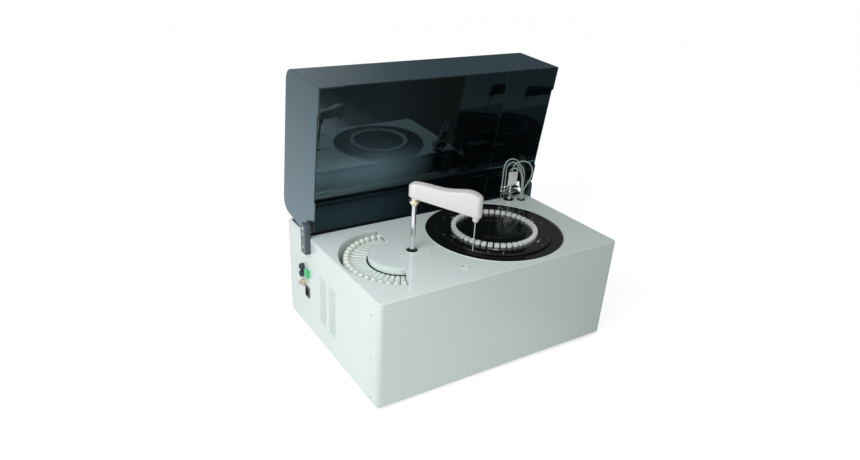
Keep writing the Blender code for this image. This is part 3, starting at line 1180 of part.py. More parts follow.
for dy, dz in ((-INLET_PIN_PITCH, -INLET_PIN_PITCH / 2), (0.0, INLET_PIN_PITCH), (INLET_PIN_PITCH,
                                                                         -INLET_PIN_PITCH / 2)):
    box(pins, body_back - INLET_WALL - INLET_PIN_L, body_back - INLET_WALL / 2,
        INLET_Y + dy - INLET_PIN_T / 2, INLET_Y + dy + INLET_PIN_T / 2,
        INLET_Z + dz - INLET_PIN_H / 2, INLET_Z + dz + INLET_PIN_H / 2)
combine(inlet, pins, "inlet_pins", "UNION")
for label, z in (("lower", PORT_LOW_Z), ("upper", PORT_HIGH_Z)):
    profile = [(0, seat), (PORT_R, seat), (PORT_R, seat - PORT_L), (PORT_BORE_R, seat - PORT_L),
               (PORT_BORE_R, seat - PORT_L + PORT_BORE_L), (0, seat - PORT_L + PORT_BORE_L)]
    add(f"port_{label}", turned(new(), PORT_Y, z, profile, MEDIUM_STEPS, "X"), DARK, True)
shape = rounded(GREEN_Y - GREEN_W / 2, GREEN_Y + GREEN_W / 2, GREEN_Z - GREEN_H / 2, GREEN_Z + GREEN_H / 2,
                GREEN_CORNER, 2)
add("signal_connector", slab(new(), shape, seat - GREEN_L, seat, "X"), GREEN)
fitting = add("drain_fitting", slab(new(), circle(DRAIN_Y, DRAIN_Z, DRAIN_R, NUT_SIDES),
                                    seat - DRAIN_L, seat, "X"), BEIGE)
combine(fitting, slab(new(), circle(DRAIN_Y, DRAIN_Z, DRAIN_BARB_R, SMALL_STEPS),
                      seat - DRAIN_L - DRAIN_BARB_L, seat - DRAIN_L / 2, "X"), "drain_barb", "UNION")
combine(fitting, slab(new(), circle(DRAIN_Y, DRAIN_Z, DRAIN_BORE_R, TINY_STEPS), seat - DRAIN_L - DRAIN_BARB_L
                      - OVERRUN, seat - DRAIN_L / 2, "X"), "drain_bore")

# Inner units that stand on the pan or hang under the bowl
add("power_supply", centred(new(), SUPPLY_X, SUPPLY_Y, SUPPLY_W, SUPPLY_D,
                            FLOOR_Z, FLOOR_Z + SUPPLY_H), METAL)
pump = add("syringe_pump", centred(new(), PUMP_X, PUMP_Y, PUMP_W, PUMP_D, FLOOR_Z, FLOOR_Z + PUMP_H), METAL)
combine(pump, rod(new(), PUMP_X, PUMP_Y, PUMP_BARREL_R, FLOOR_Z + PUMP_H / 2,
                  FLOOR_Z + PUMP_H + PUMP_BARREL_H, SMALL_STEPS), "pump_barrel", "UNION")
add("photometer", centred(new(), REACTION_X, REACTION_Y + METER_OFFSET, METER_W, METER_D,
                          BOWL_FLOOR_Z - GAP - METER_H, BOWL_FLOOR_Z - GAP), DARK)
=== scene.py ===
"""Visual model of a benchtop chemistry analyzer with an open, smoked lid.

Metres, +X to the right, +Y to the back, +Z up, with the origin at the centre of the base pan's
underside. The sections follow the machine as it is put together.
"""
import math

import bmesh
import bpy
import numpy as np
from mathutils import Matrix, Vector
from mathutils.geometry import delaunay_2d_cdt


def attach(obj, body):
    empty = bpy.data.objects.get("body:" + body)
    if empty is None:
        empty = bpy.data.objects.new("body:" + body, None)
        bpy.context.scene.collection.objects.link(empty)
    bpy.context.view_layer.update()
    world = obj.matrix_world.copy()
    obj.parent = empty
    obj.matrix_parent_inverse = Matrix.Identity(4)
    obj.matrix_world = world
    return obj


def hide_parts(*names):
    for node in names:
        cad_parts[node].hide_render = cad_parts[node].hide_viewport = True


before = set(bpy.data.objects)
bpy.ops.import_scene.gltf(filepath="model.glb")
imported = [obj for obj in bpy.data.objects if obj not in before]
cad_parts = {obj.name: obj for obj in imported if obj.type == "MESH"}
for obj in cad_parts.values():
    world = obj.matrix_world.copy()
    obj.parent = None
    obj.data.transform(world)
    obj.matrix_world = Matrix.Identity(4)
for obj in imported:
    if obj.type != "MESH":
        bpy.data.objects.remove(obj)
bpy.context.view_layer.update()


# The studio: a camera at the photograph's viewing angle, a soft lamp above the machine's left, a pale
# room that darkens to the right, and a white floor that keeps the machine's shadow.
VIEW_AZIMUTH, VIEW_ELEVATION, VIEW_ROLL = (math.radians(d) for d in (32.15, 26.96, 2.59))
CAMERA_PLACE, LENS, SHIFT_X, SHIFT_Y = (-0.9268, -1.2635, 0.9834), 27.44, 0.0274, 0.0312
LAMP_PLACE, LAMP_TARGET, LAMP_SIZE, LAMP_WATTS = (-1.02, -0.40, 1.12), (-0.25, 0.0, 0.2), 0.7, 9.0
ROOM_LEVEL, ROOM_SWING = 0.33, 0.25
FLOOR_LEVEL, FLOOR_HALF, FLOOR_COLOUR, FLOOR_GLOW = -0.0101, 6.0, 0.86, 0.60

scene = bpy.context.scene
scene.view_settings.view_transform = "Standard"
sight = Vector((math.sin(VIEW_AZIMUTH) * math.cos(VIEW_ELEVATION),
                math.cos(VIEW_AZIMUTH) * math.cos(VIEW_ELEVATION), -math.sin(VIEW_ELEVATION)))
level = Vector((math.cos(VIEW_AZIMUTH), -math.sin(VIEW_AZIMUTH), 0))
tall = level.cross(sight)
across = math.cos(VIEW_ROLL) * level + math.sin(VIEW_ROLL) * tall
upward = math.cos(VIEW_ROLL) * tall - math.sin(VIEW_ROLL) * level
camera = bpy.data.objects.new("studio_camera", bpy.data.cameras.new("studio_camera"))
camera.matrix_world = Matrix([(across[k], upward[k], -sight[k], CAMERA_PLACE[k])
                              for k in range(3)] + [(0, 0, 0, 1)])
camera.data.sensor_width = 36
camera.data.lens = LENS
camera.data.shift_x, camera.data.shift_y = SHIFT_X, SHIFT_Y
scene.collection.objects.link(camera)
scene.camera = camera


lamp = bpy.data.objects.new("lamp_left", bpy.data.lights.new("lamp_left", "AREA"))
lamp.data.size, lamp.data.energy = LAMP_SIZE, LAMP_WATTS
lamp.location = LAMP_PLACE
lamp.rotation_euler = (Vector(LAMP_TARGET) - Vector(LAMP_PLACE)).to_track_quat("-Z", "Y").to_euler()
scene.collection.objects.link(lamp)


def math_node(tree, operation, *values):
    """A math node between values and sockets of a node tree."""
    node = tree.nodes.new("ShaderNodeMath")
    node.operation = operation
    for socket, value in zip(node.inputs, values):
        if isinstance(value, (int, float)):
            socket.default_value = value
        else:
            tree.links.new(value, socket)
    return node.outputs[0]


def tone_along(tree, value, stops):
    """Grey tones between stops along a value that runs from -1 to 1."""
    ramp = tree.nodes.new("ShaderNodeValToRGB")
    for at, tone in stops:
        stop = ramp.color_ramp.elements.new(0.5 + 0.5 * at)
        stop.color = (tone, tone, tone, 1)
    ramp.color_ramp.elements.remove(ramp.color_ramp.elements[0])
    ramp.color_ramp.elements.remove(ramp.color_ramp.elements[-1])
    tree.links.new(math_node(tree, "MULTIPLY_ADD", value, 0.5, 0.5), ramp.inputs["Fac"])
    return ramp.outputs["Color"]


room = bpy.data.worlds.new("pale_room")
room.use_nodes = True
scene.world = room
tree = room.node_tree
direction, parts, ray = (tree.nodes.new(f"ShaderNode{kind}") for kind in ("TexCoord", "SeparateXYZ", "LightPath"))
tree.links.new(direction.outputs["Generated"], parts.inputs[0])
# The room's walls are palest ahead of the machine's left and dark on its right, so its tone goes with X.
wall_tone = tone_along(tree, parts.outputs["X"],
                       ((-0.3, 0.40), (0.05, 0.95), (0.28, 1.0), (0.38, 0.6), (0.50, 0.12)))
scattered = math_node(tree, "MULTIPLY_ADD", wall_tone, ROOM_SWING, ROOM_LEVEL)
mirrored = math_node(tree, "MULTIPLY", wall_tone, ray.outputs["Is Glossy Ray"])
matt = math_node(tree, "MULTIPLY", scattered, math_node(tree, "SUBTRACT", 1.0, ray.outputs["Is Glossy Ray"]))
direct = math_node(tree, "MAXIMUM", ray.outputs["Is Camera Ray"], ray.outputs["Is Transmission Ray"])
background = tree.nodes["Background"]
background.inputs["Color"].default_value = (1, 1, 1, 1)
tree.links.new(math_node(tree, "MAXIMUM", math_node(tree, "ADD", mirrored, matt), direct),
               background.inputs["Strength"])

floor_mesh = bpy.data.meshes.new("studio_floor")
floor_mesh.from_pydata([(x * FLOOR_HALF, y * FLOOR_HALF, FLOOR_LEVEL)
                        for x, y in ((-1, -1), (1, -1), (1, 1), (-1, 1))], [], [(0, 1, 2, 3)])
studio_floor = bpy.data.objects.new("studio_floor", floor_mesh)
scene.collection.objects.link(studio_floor)
pale = bpy.data.materials.new("studio_floor")
pale.use_nodes = True
tree = pale.node_tree
pale_shader = tree.nodes["Principled BSDF"]
for label, value in (("Roughness", 0.9), ("Specular IOR Level", 0.0), ("Emission Color", (1, 1, 1, 1))):
    pale_shader.inputs[label].default_value = value
ray, place, parts = (tree.nodes.new(f"ShaderNode{kind}") for kind in ("LightPath", "TexCoord", "SeparateXYZ"))
tree.links.new(place.outputs["Object"], parts.inputs[0])
# In the gloss of the machine the floor darkens to the right, as the room's walls do.
floor_tone = tone_along(tree, parts.outputs["X"],
                        ((-0.4, 1.0), (-0.1, 0.95), (0.13, 0.75), (0.24, 0.5), (0.36, 0.18), (0.6, 0.05)))
kept = math_node(tree, "SUBTRACT", 1.0, math_node(tree, "MULTIPLY", ray.outputs["Is Glossy Ray"],
                                                  math_node(tree, "SUBTRACT", 1.0, floor_tone)))
tree.links.new(math_node(tree, "MULTIPLY", kept, FLOOR_COLOUR), pale_shader.inputs["Base Color"])
shown = math_node(tree, "MAXIMUM", ray.outputs["Is Camera Ray"], ray.outputs["Is Glossy Ray"])
tree.links.new(math_node(tree, "MULTIPLY", kept, math_node(tree, "MULTIPLY", shown, FLOOR_GLOW)),
               pale_shader.inputs["Emission Strength"])
floor_mesh.materials.append(pale)


# Base pan and four feet: a folded tray of galvanised sheet carries everything and stands on
# tapered rubber feet, each held by a screw in its middle.
PAN_UNDERSIDE = -0.0003
FOOT_R, FOOT_TIP_R, FOOT_LOW = 0.0170, 0.0138, -0.0100
FOOT_X, FOOT_Y = 0.305, 0.205


def surface_grain():
    """Node group: broad tone changes, uneven gloss and a fine relief, all from noise on Object coordinates.

    Colour = colour x (1 + Tone x broad noise); Roughness = roughness + Uneven x middling noise;
    Height = fine noise of the given Grain scale, with each axis stretched by Stretch.
    """
    group = bpy.data.node_groups.new("surface_grain", "ShaderNodeTree")
    for label, kind, value in (("Colour", "NodeSocketColor", (0.5, 0.5, 0.5, 1)), ("Tone", "NodeSocketFloat", 0.05),
                               ("Roughness", "NodeSocketFloat", 0.3), ("Uneven", "NodeSocketFloat", 0.05),
                               ("Grain", "NodeSocketFloat", 900.0), ("Stretch", "NodeSocketVector", (1, 1, 1))):
        group.interface.new_socket(label, in_out="INPUT", socket_type=kind).default_value = value
    for label, kind in (("Colour", "NodeSocketColor"), ("Roughness", "NodeSocketFloat"),
                        ("Height", "NodeSocketFloat")):
        group.interface.new_socket(label, in_out="OUTPUT", socket_type=kind)
    new, link = group.nodes.new, group.links.new
    given, out, place = new("NodeGroupInput"), new("NodeGroupOutput"), new("ShaderNodeTexCoord").outputs["Object"]
    stretched, tinted = new("ShaderNodeVectorMath"), new("ShaderNodeVectorMath")
    stretched.operation, tinted.operation = "MULTIPLY", "SCALE"
    link(place, stretched.inputs[0])
    link(given.outputs["Stretch"], stretched.inputs[1])

    def noise(vector, scale, detail):
        node = new("ShaderNodeTexNoise")
        node.inputs["Detail"].default_value = detail
        link(vector, node.inputs["Vector"])
        if isinstance(scale, float):
            node.inputs["Scale"].default_value = scale
        else:
            link(scale, node.inputs["Scale"])
        return node.outputs["Fac"]

    broad = math_node(group, "ADD", noise(place, 5.0, 2.0), noise(place, 38.0, 3.0))
    link(given.outputs["Colour"], tinted.inputs[0])
    link(math_node(group, "MULTIPLY_ADD", math_node(group, "SUBTRACT", broad, 1.0), given.outputs["Tone"], 1.0),
         tinted.inputs["Scale"])
    link(tinted.outputs["Vector"], out.inputs["Colour"])
    smear = math_node(group, "SUBTRACT", noise(stretched.outputs["Vector"], 55.0, 4.0), 0.5)
    link(math_node(group, "MULTIPLY_ADD", smear, given.outputs["Uneven"], given.outputs["Roughness"]),
         out.inputs["Roughness"])
    link(noise(stretched.outputs["Vector"], given.outputs["Grain"], 2.0), out.inputs["Height"])
    return group


GRAIN = surface_grain()


def finish(name, colour, roughness, metallic=0.0, coat=0.0, ior=1.5, tone=0.05, uneven=0.06, grain=900.0,
           relief=0.05, stretch=(1, 1, 1)):
    """A Principled material whose colour, gloss and relief come from the surface_grain group."""
    mat = bpy.data.materials.new(name)
    mat.use_nodes = True
    nodes, links = mat.node_tree.nodes, mat.node_tree.links
    shader = nodes["Principled BSDF"]
    for label, value in (("Metallic", metallic), ("Coat Weight", coat), ("Coat Roughness", 0.04), ("IOR", ior)):
        shader.inputs[label].default_value = value
    grained = nodes.new("ShaderNodeGroup")
    grained.name = "grain"
    grained.node_tree = GRAIN
    for label, value in (("Colour", (*colour, 1)), ("Tone", tone), ("Roughness", roughness), ("Uneven", uneven),
                         ("Grain", grain), ("Stretch", stretch)):
        grained.inputs[label].default_value = value
    bump = nodes.new("ShaderNodeBump")
    bump.inputs["Strength"].default_value = relief
    bump.inputs["Distance"].default_value = 0.0004
    links.new(grained.outputs["Height"], bump.inputs["Height"])
    links.new(grained.outputs["Colour"], shader.inputs["Base Color"])
    links.new(grained.outputs["Roughness"], shader.inputs["Roughness"])
    links.new(bump.outputs["Normal"], shader.inputs["Normal"])
    mat.diffuse_color = (*colour, 1)
    return mat


def refinish(material, *names):
    """Gives CAD nodes that stay in view a material."""
    for name in names:
        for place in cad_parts[name].material_slots:
            place.material = material


def unit(vectors):
    """Vectors at length 1."""
    return vectors / np.maximum(np.linalg.norm(vectors, axis=-1, keepdims=True), 1e-12)


def grid_faces(rows, columns, wrap_rows=False, wrap_columns=False):
    """Quads between the neighbours of a grid of points, going round where a direction closes on itself."""
    i, j = np.meshgrid(np.arange(rows if wrap_rows else rows - 1),
                       np.arange(columns if wrap_columns else columns - 1), indexing="ij")
    k, m = (i + 1) % rows, (j + 1) % columns
    return np.stack([i * columns + j, i * columns + m, k * columns + m, k * columns + j], -1).reshape(-1, 4)


def outward(solid):
    """Turns every face of a closed solid outwards: the sum of its fans' volumes has to be positive."""
    points, sets = solid
    volume = 0.0
    for faces, _, _ in sets:
        corner = points[faces]
        first = corner[:, :1]
        volume += np.einsum("fki,fki->", np.broadcast_to(first, corner[:, 1:-1].shape),
                            np.cross(corner[:, 1:-1], corner[:, 2:]))
    if volume < 0:
        sets = [(faces[:, ::-1], number, flat) for faces, number, flat in sets]
    return [points, sets]


def eased(points, radius, steps=4, closed=True):
    """Rounds the corners of an outline: each gives way to an arc that touches both of its edges."""
    p = np.asarray(points, float)
    radius = np.broadcast_to(np.asarray(radius, float), len(p)).copy()
    if not closed:
        radius[[0, -1]] = 0
    u, v = np.roll(p, 1, 0) - p, np.roll(p, -1, 0) - p
    shorter = np.minimum(np.linalg.norm(u, axis=1), np.linalg.norm(v, axis=1))
    u, v = unit(u), unit(v)
    half = np.arccos(np.clip((u * v).sum(1), -1, 1)) / 2
    reach = np.minimum(radius / np.tan(half), 0.49 * shorter)
    radius = reach * np.tan(half)
    centre = p + unit(u + v) * (radius / np.sin(half))[:, None]
    start, end = p + u * reach[:, None] - centre, p + v * reach[:, None] - centre
    first = np.arctan2(start[:, 1], start[:, 0])
    sweep = (np.arctan2(end[:, 1], end[:, 0]) - first + np.pi) % (2 * np.pi) - np.pi
    angle = first[:, None] + sweep[:, None] * np.linspace(0, 1, steps + 1)
    arcs = centre[:, None] + radius[:, None, None] * np.stack([np.cos(angle), np.sin(angle)], -1)
    flat = arcs.reshape(-1, 2)
    gap = np.linalg.norm(flat - np.roll(flat, 1, 0), axis=1)
    gap[0] = gap[0] if closed else 1.0
    return flat[gap > 1e-7]


def numbered(solid, number):
    """A solid with all its faces in another of its piece's materials."""
    return [solid[0], [(faces, number, flat) for faces, _, flat in solid[1]]]


def turned(profile, centre, steps=72, axis="Z", number=0):
    """A profile of radius and height turned round an axis; one that starts and ends on the axis is a solid
    closed at its poles, and any other is a ring."""
    profile = np.asarray(profile, float)
    angle = np.linspace(0, 2 * np.pi, steps, endpoint=False)
    poled = profile[0, 0] == 0 and profile[-1, 0] == 0
    ring = profile[1:-1] if poled else profile
    radius, height = ring[:, 0, None], ring[:, 1, None]
    points = np.stack([radius * np.cos(angle), radius * np.sin(angle), height + 0 * angle], -1).reshape(-1, 3)
    sets = [(grid_faces(len(ring), steps, not poled, True), number, False)]
    if poled:
        count = len(points)
        points = np.vstack([points, [(0, 0, profile[0, 1]), (0, 0, profile[-1, 1])]])
        here = np.arange(steps)
        after = (here + 1) % steps
        last = (len(ring) - 1) * steps
        sets.append((np.stack([np.full(steps, count), after, here], 1), number, False))
        sets.append((np.stack([np.full(steps, count + 1), last + here, last + after], 1), number, False))
    if axis == "X":
        points = points[:, [2, 0, 1]] + (0, *centre)
    else:
        points = points + (*centre, 0)
    return outward([points, sets])


def make_piece(name, solids, materials, body, replaced=(), crease=35.0):
    """Joins solids into one mesh, smooth but for its creases and the rims of its flat ends, and puts it on a
    body. A solid is its points and its sets of faces, each with a material's number and whether it is flat."""
    materials = materials if isinstance(materials, (list, tuple)) else [materials]
    points = np.concatenate([solid[0] for solid in solids])
    starts = np.cumsum([0] + [len(solid[0]) for solid in solids])
    loops, sizes, numbers, flats = [], [], [], []
    for solid, start in zip(solids, starts):
        for faces, number, flat in solid[1]:
            faces = np.asarray(faces, int)
            loops.append((faces + start).ravel())
            sizes.append(np.full(len(faces), faces.shape[1]))
            numbers.append(np.full(len(faces), number))
            flats.append(np.full(len(faces), flat))
    loops, sizes = np.concatenate(loops), np.concatenate(sizes)
    numbers, flats = np.concatenate(numbers), np.concatenate(flats)
    mesh = bpy.data.meshes.new(name)
    mesh.vertices.add(len(points))
    mesh.vertices.foreach_set("co", points.astype(np.float32).ravel())
    mesh.loops.add(len(loops))
    mesh.loops.foreach_set("vertex_index", loops.astype(np.int32))
    mesh.polygons.add(len(sizes))
    mesh.polygons.foreach_set("loop_start", np.concatenate([[0], np.cumsum(sizes)[:-1]]).astype(np.int32))
    mesh.polygons.foreach_set("material_index", numbers.astype(np.int32))
    mesh.update(calc_edges=True)
    mesh.shade_smooth()
    mesh.set_sharp_from_angle(angle=math.radians(crease))
    sharp = np.zeros(len(mesh.edges), bool)
    mesh.attributes["sharp_edge"].data.foreach_get("value", sharp)
    edge_of = np.zeros(len(loops), np.int32)
    mesh.loops.foreach_get("edge_index", edge_of)
    flat_loops = np.repeat(flats, sizes)
    sharp[edge_of[flat_loops]] = True
    inner = np.bincount(edge_of[flat_loops], minlength=len(sharp)) == 2
    sharp[inner] = False
    mesh.attributes["sharp_edge"].data.foreach_set("value", sharp)
    mesh.validate()
    for material in materials:
        mesh.materials.append(material)
    piece = bpy.data.objects.new(name, mesh)
    scene.collection.objects.link(piece)
    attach(piece, body)
    if replaced:
        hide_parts(*([replaced] if isinstance(replaced, str) else replaced))
    return piece


GALVANISED = finish("galvanised_sheet", (0.46, 0.47, 0.48), 0.42, metallic=1.0, tone=0.22, uneven=0.2, grain=260.0,
                    relief=0.08)
RUBBER = finish("foot_rubber", (0.028, 0.028, 0.029), 0.78, tone=0.2, grain=1400.0, relief=0.25)
refinish(GALVANISED, "base_pan")
foot_profile = eased([(0, PAN_UNDERSIDE), (FOOT_R, PAN_UNDERSIDE), (FOOT_R, PAN_UNDERSIDE - 0.0035),
                      (FOOT_TIP_R, FOOT_LOW), (0.0052, FOOT_LOW), (0.0045, -0.0062), (0, -0.0062)],
                     [0, 0.0006, 0.0015, 0.0014, 0.0008, 0.0005, 0], 4, closed=False)
for end, sy in (("front", -1), ("rear", 1)):
    for side, sx in (("left", -1), ("right", 1)):
        make_piece(f"rubber_foot_{end}_{side}", [turned(foot_profile, (sx * FOOT_X, sy * FOOT_Y), 40)], RUBBER,
                   "housing", f"foot_{end}_{side}")


# Skins: a front of painted sheet that wraps on to both sides, two side panels and a back, each
# screwed to the frame. Their edges are broken by a small radius, so the seams read as fine lines.
HALF_W, HALF_D, SKIN_T, SKIN_TOP = 0.350, 0.250, 0.003, 0.2707
CORNER_R, SEAM_Y, CLEAR = 0.012, -0.202, 0.0003
VENT_FRONT_Y, VENT_PITCH, VENT_W, VENT_LOW, VENT_H = -0.036, 0.054, 0.037, 0.063, 0.132
WINDOW_Y, WINDOW_Z, WINDOW_W, WINDOW_H = 0.159, 0.132, 0.090, 0.110
VENT_HOLE_PITCH, VENT_HOLE_R, SKIN_EDGE, SCREW_R, SCREW_H = 0.0072, 0.0022, 0.0009, 0.0032, 0.0009


def anticlockwise(outline):
    """An outline with its area positive: half the sum of its cross products."""
    p = np.asarray(outline, float)
    q = np.roll(p, -1, 0)
    return p if (p[:, 0] * q[:, 1] - p[:, 1] * q[:, 0]).sum() > 0 else p[::-1]


def drawn_in(outline, distance):
    """An anticlockwise outline with every edge moved inwards by a distance: each corner goes along the sum of
    its two edge normals, divided by that sum's share of either normal."""
    p = np.asarray(outline, float)
    along = unit(np.roll(p, -1, 0) - p)
    normal = np.stack([along[:, 1], -along[:, 0]], 1)
    both = np.roll(normal, 1, 0) + normal
    return p - distance * both / np.maximum((both * normal).sum(1), 0.2)[:, None]


def laid(flat, level, axis):
    """Points of an outline set at a level along an axis."""
    u, v, w = flat[:, 0], flat[:, 1], np.broadcast_to(level, len(flat))
    return np.stack({"X": (w, u, v), "Y": (u, w, v), "Z": (u, v, w)}[axis], 1)


def rims(low, high, low_edge, high_edge, steps=3):
    """Levels and insets of a wall whose two rims are quarter circles of the given radii."""
    turn = np.linspace(0, np.pi / 2, steps + 1)
    ends = [low + low_edge * (1 - np.cos(turn)), (high - high_edge * (1 - np.cos(turn)))[::-1]]
    insets = [low_edge * (1 - np.sin(turn)), (high_edge * (1 - np.sin(turn)))[::-1]]
    if low_edge == 0:
        ends[0], insets[0] = [low], [0.0]
    if high_edge == 0:
        ends[1], insets[1] = [high], [0.0]
    return np.concatenate(ends), np.concatenate(insets)


def stacked(rings, number=0):
    """Closed loops of points joined one after another, with a flat end on the first and on the last."""
    rings = np.asarray(rings, float)
    rows, columns = rings.shape[:2]
    loop = np.arange(columns)
    return outward([rings.reshape(-1, 3), [(grid_faces(rows, columns, False, True), number, False),
                                           (loop[::-1][None], number, True),
                                           (((rows - 1) * columns + loop)[None], number, True)]])


def plate(outline, low, high, axis="Z", edge=0.0006, low_edge=None, number=0):
    """A plate between two levels along an axis, its rims rounded over as rims() says."""
    outline = anticlockwise(outline)
    levels, insets = rims(low, high, edge if low_edge is None else low_edge, edge)
    return stacked([laid(drawn_in(outline, inset), level, axis) for level, inset in zip(levels, insets)], number)


def within(places, loop):
    """Whether places lie inside a loop: a ray to the right of each crosses an odd number of its edges."""
    (x, y), a, b = places[:, None].transpose(2, 0, 1), loop, np.roll(loop, -1, 0)
    crosses = (a[:, 1] > y) != (b[:, 1] > y)
    rise = np.where(a[:, 1] == b[:, 1], 1.0, b[:, 1] - a[:, 1])
    return (crosses & (x < a[:, 0] + (y - a[:, 1]) / rise * (b[:, 0] - a[:, 0]))).sum(1) % 2 == 1


def pierced(outline, holes, low, high, axis="Z", low_edge=0.0, high_edge=0.0006, hole_edge=0.0004, number=0):
    """A plate with holes: a wall of rings round the outline and each hole, the holes' rings widened at the rims,
    and both faces filled by Delaunay triangles between them."""
    loops = [anticlockwise(outline)] + [anticlockwise(hole) for hole in holes]
    points, sets, starts, first, last = [], [], 0, [], []
    for place, loop in enumerate(loops):
        sign = 1 if place == 0 else -1
        edges = (low_edge, high_edge) if place == 0 else (min(low_edge, hole_edge), hole_edge)
        levels, insets = rims(low, high, *edges, 3 if place == 0 else 2)
        rings = np.stack([laid(drawn_in(loop, sign * inset), level, "Z") for level, inset in zip(levels, insets)])
        faces = grid_faces(len(levels), len(loop), False, True) + starts
        sets.append((faces if sign > 0 else faces[:, ::-1], number, False))
        first.append((rings[0], starts + np.arange(len(loop))))
        last.append((rings[-1], starts + (len(levels) - 1) * len(loop) + np.arange(len(loop))))
        points.append(rings.reshape(-1, 3))
        starts += rings.shape[0] * rings.shape[1]
    points = np.concatenate(points)
    for ends, sign in ((first, -1), (last, 1)):
        index = np.concatenate([loop for _, loop in ends])
        flat = points[index][:, :2]
        breaks = np.cumsum([0] + [len(loop) for _, loop in ends])
        runs = [np.arange(a, b) for a, b in zip(breaks, breaks[1:])]
        rim = np.concatenate([np.stack([run, np.roll(run, -1)], 1) for run in runs])
        filled = delaunay_2d_cdt([Vector(p) for p in 1000 * flat], rim.tolist(), [], 1, 1e-5)
        source = np.array([ids[0] for ids in filled[3]])
        triangles = source[np.array(filled[2], int)]
        middle = flat[triangles].mean(1)
        kept = ~np.any([within(middle, flat[run]) for run in runs[1:]], 0)
        triangles = triangles[kept & within(middle, flat[runs[0]])]
        a, b, c = (flat[triangles[:, k]] for k in range(3))
        area = (b - a)[:, 0] * (c - a)[:, 1] - (b - a)[:, 1] * (c - a)[:, 0]
        triangles = np.where((area * sign > 0)[:, None], triangles, triangles[:, ::-1])
        sets.append((index[triangles], number, True))
    order = {"X": [2, 0, 1], "Y": [0, 2, 1], "Z": [0, 1, 2]}[axis]
    return outward([points[:, order], sets])


def rectangle(x, y, corner, steps=4):
    """A rectangle between two spans with round corners."""
    return eased([(x[0], y[0]), (x[1], y[0]), (x[1], y[1]), (x[0], y[1])], corner, steps)


def block(x, y, z, edge=0.0006, axis="Z", corner=0.0, number=0):
    """A box from its three spans, with rounded rims on the two faces across an axis and eased corners."""
    spans = {"X": (y, z, x), "Y": (x, z, y), "Z": (x, y, z)}[axis]
    (u0, u1), (v0, v1), (w0, w1) = spans
    outline = rectangle(*spans[:2], corner) if corner else [(u0, v0), (u1, v0), (u1, v1), (u0, v1)]
    return plate(outline, w0, w1, axis, edge, number=number)


def circle(x, y, radius, steps=24, first=0.0):
    """Points round a circle, each at its angle from the first."""
    angle = np.linspace(0, 2 * np.pi, steps, endpoint=False) + first
    return np.stack([x + radius * np.cos(angle), y + radius * np.sin(angle)], 1)


def domed(x, y, z, radius, height, axis="Z", steps=24):
    """A low dome on an axis: its height falls with the square root of one less the square of its radius."""
    share = np.linspace(1, 0, 6)
    profile = [(0, z - abs(height)), (radius, z - abs(height))]
    profile += list(zip(radius * share, z + height * np.sqrt(1 - share ** 2) * 0.999))
    return turned(profile, (x, y), steps, axis)


PAINT = finish("white_paint", (0.77, 0.88, 0.865), 0.30, coat=0.3, tone=0.02, uneven=0.08, grain=1500.0,
               relief=0.035)
FRONT_PAINT = finish("front_paint", (0.75, 0.86, 0.83), 0.32, coat=0.3, tone=0.02, uneven=0.08, grain=1500.0,
                     relief=0.035)
SCREW = finish("screw_zinc", (0.55, 0.56, 0.57), 0.34, metallic=1.0, tone=0.15, uneven=0.15)

wrap = eased([(-HALF_W, SEAM_Y), (-HALF_W, -HALF_D), (HALF_W, -HALF_D), (HALF_W, SEAM_Y)],
             [0, CORNER_R, CORNER_R, 0], 8, closed=False)
along = unit(np.gradient(wrap, axis=0))
along[[0, -1]] = [(0, -1), (0, 1)]
outside = np.stack([along[:, 1], -along[:, 0]], 1)
outside[np.abs(wrap[:, 0]) > HALF_W - 1e-6] = np.sign(wrap[np.abs(wrap[:, 0]) > HALF_W - 1e-6, :1]) * (1, 0)
outside[np.abs(wrap[:, 1] + HALF_D) < 1e-6] = (0, -1)
section = eased([(0, CLEAR), (0, SKIN_TOP), (-SKIN_T, SKIN_TOP), (-SKIN_T, CLEAR)],
                [SKIN_EDGE, SKIN_EDGE, 0.0003, 0.0003], 3)
front = stacked([np.column_stack([p + n * section[:, :1], section[:, 1]]) for p, n in zip(wrap, outside)])
seam_screws = [numbered(domed(-0.215, z, sx * HALF_W, SCREW_R, sx * SCREW_H, "X", 16), 1) for sx in (-1, 1)
               for z in (0.232, 0.121, 0.011)]
make_piece("front_skin", [front] + seam_screws, [FRONT_PAINT, SCREW], "housing", "front_cover")

rows, columns = np.meshgrid(np.arange(int(VENT_H / (VENT_HOLE_PITCH * 0.5)) + 1), np.arange(5), indexing="ij")
vent_y, vent_z = (columns + 0.5 * (rows % 2)) * VENT_HOLE_PITCH, rows * VENT_HOLE_PITCH * 0.5
inside = vent_y < VENT_W - 2 * VENT_HOLE_R
vents = [circle(VENT_FRONT_Y + vent * VENT_PITCH + y, VENT_LOW + z, VENT_HOLE_R, 8) for vent in range(2)
         for y, z in zip(vent_y[inside] + VENT_HOLE_R, vent_z[inside]) if z < VENT_H - VENT_HOLE_R]
window = rectangle((WINDOW_Y - WINDOW_W / 2, WINDOW_Y + WINDOW_W / 2),
                   (WINDOW_Z - WINDOW_H / 2, WINDOW_Z + WINDOW_H / 2), 0.003)
side = [(SEAM_Y + CLEAR, CLEAR), (HALF_D, CLEAR), (HALF_D, SKIN_TOP), (SEAM_Y + CLEAR, SKIN_TOP)]
left = pierced(side, vents + [window], HALF_W - SKIN_T, HALF_W, "X", high_edge=SKIN_EDGE, hole_edge=0.0003)
left[0][:, 0] *= -1
make_piece("left_skin", [outward(left)], PAINT, "housing", "side_panel_left")
make_piece("right_skin", [plate(side, HALF_W - SKIN_T, HALF_W, "X", SKIN_EDGE, 0.0)]
           + [domed(y, z, HALF_W, SCREW_R, SCREW_H, "X", 16) for y in (-0.18, 0.228) for z in (0.03, 0.24)],
           PAINT, "housing", "side_panel_right")
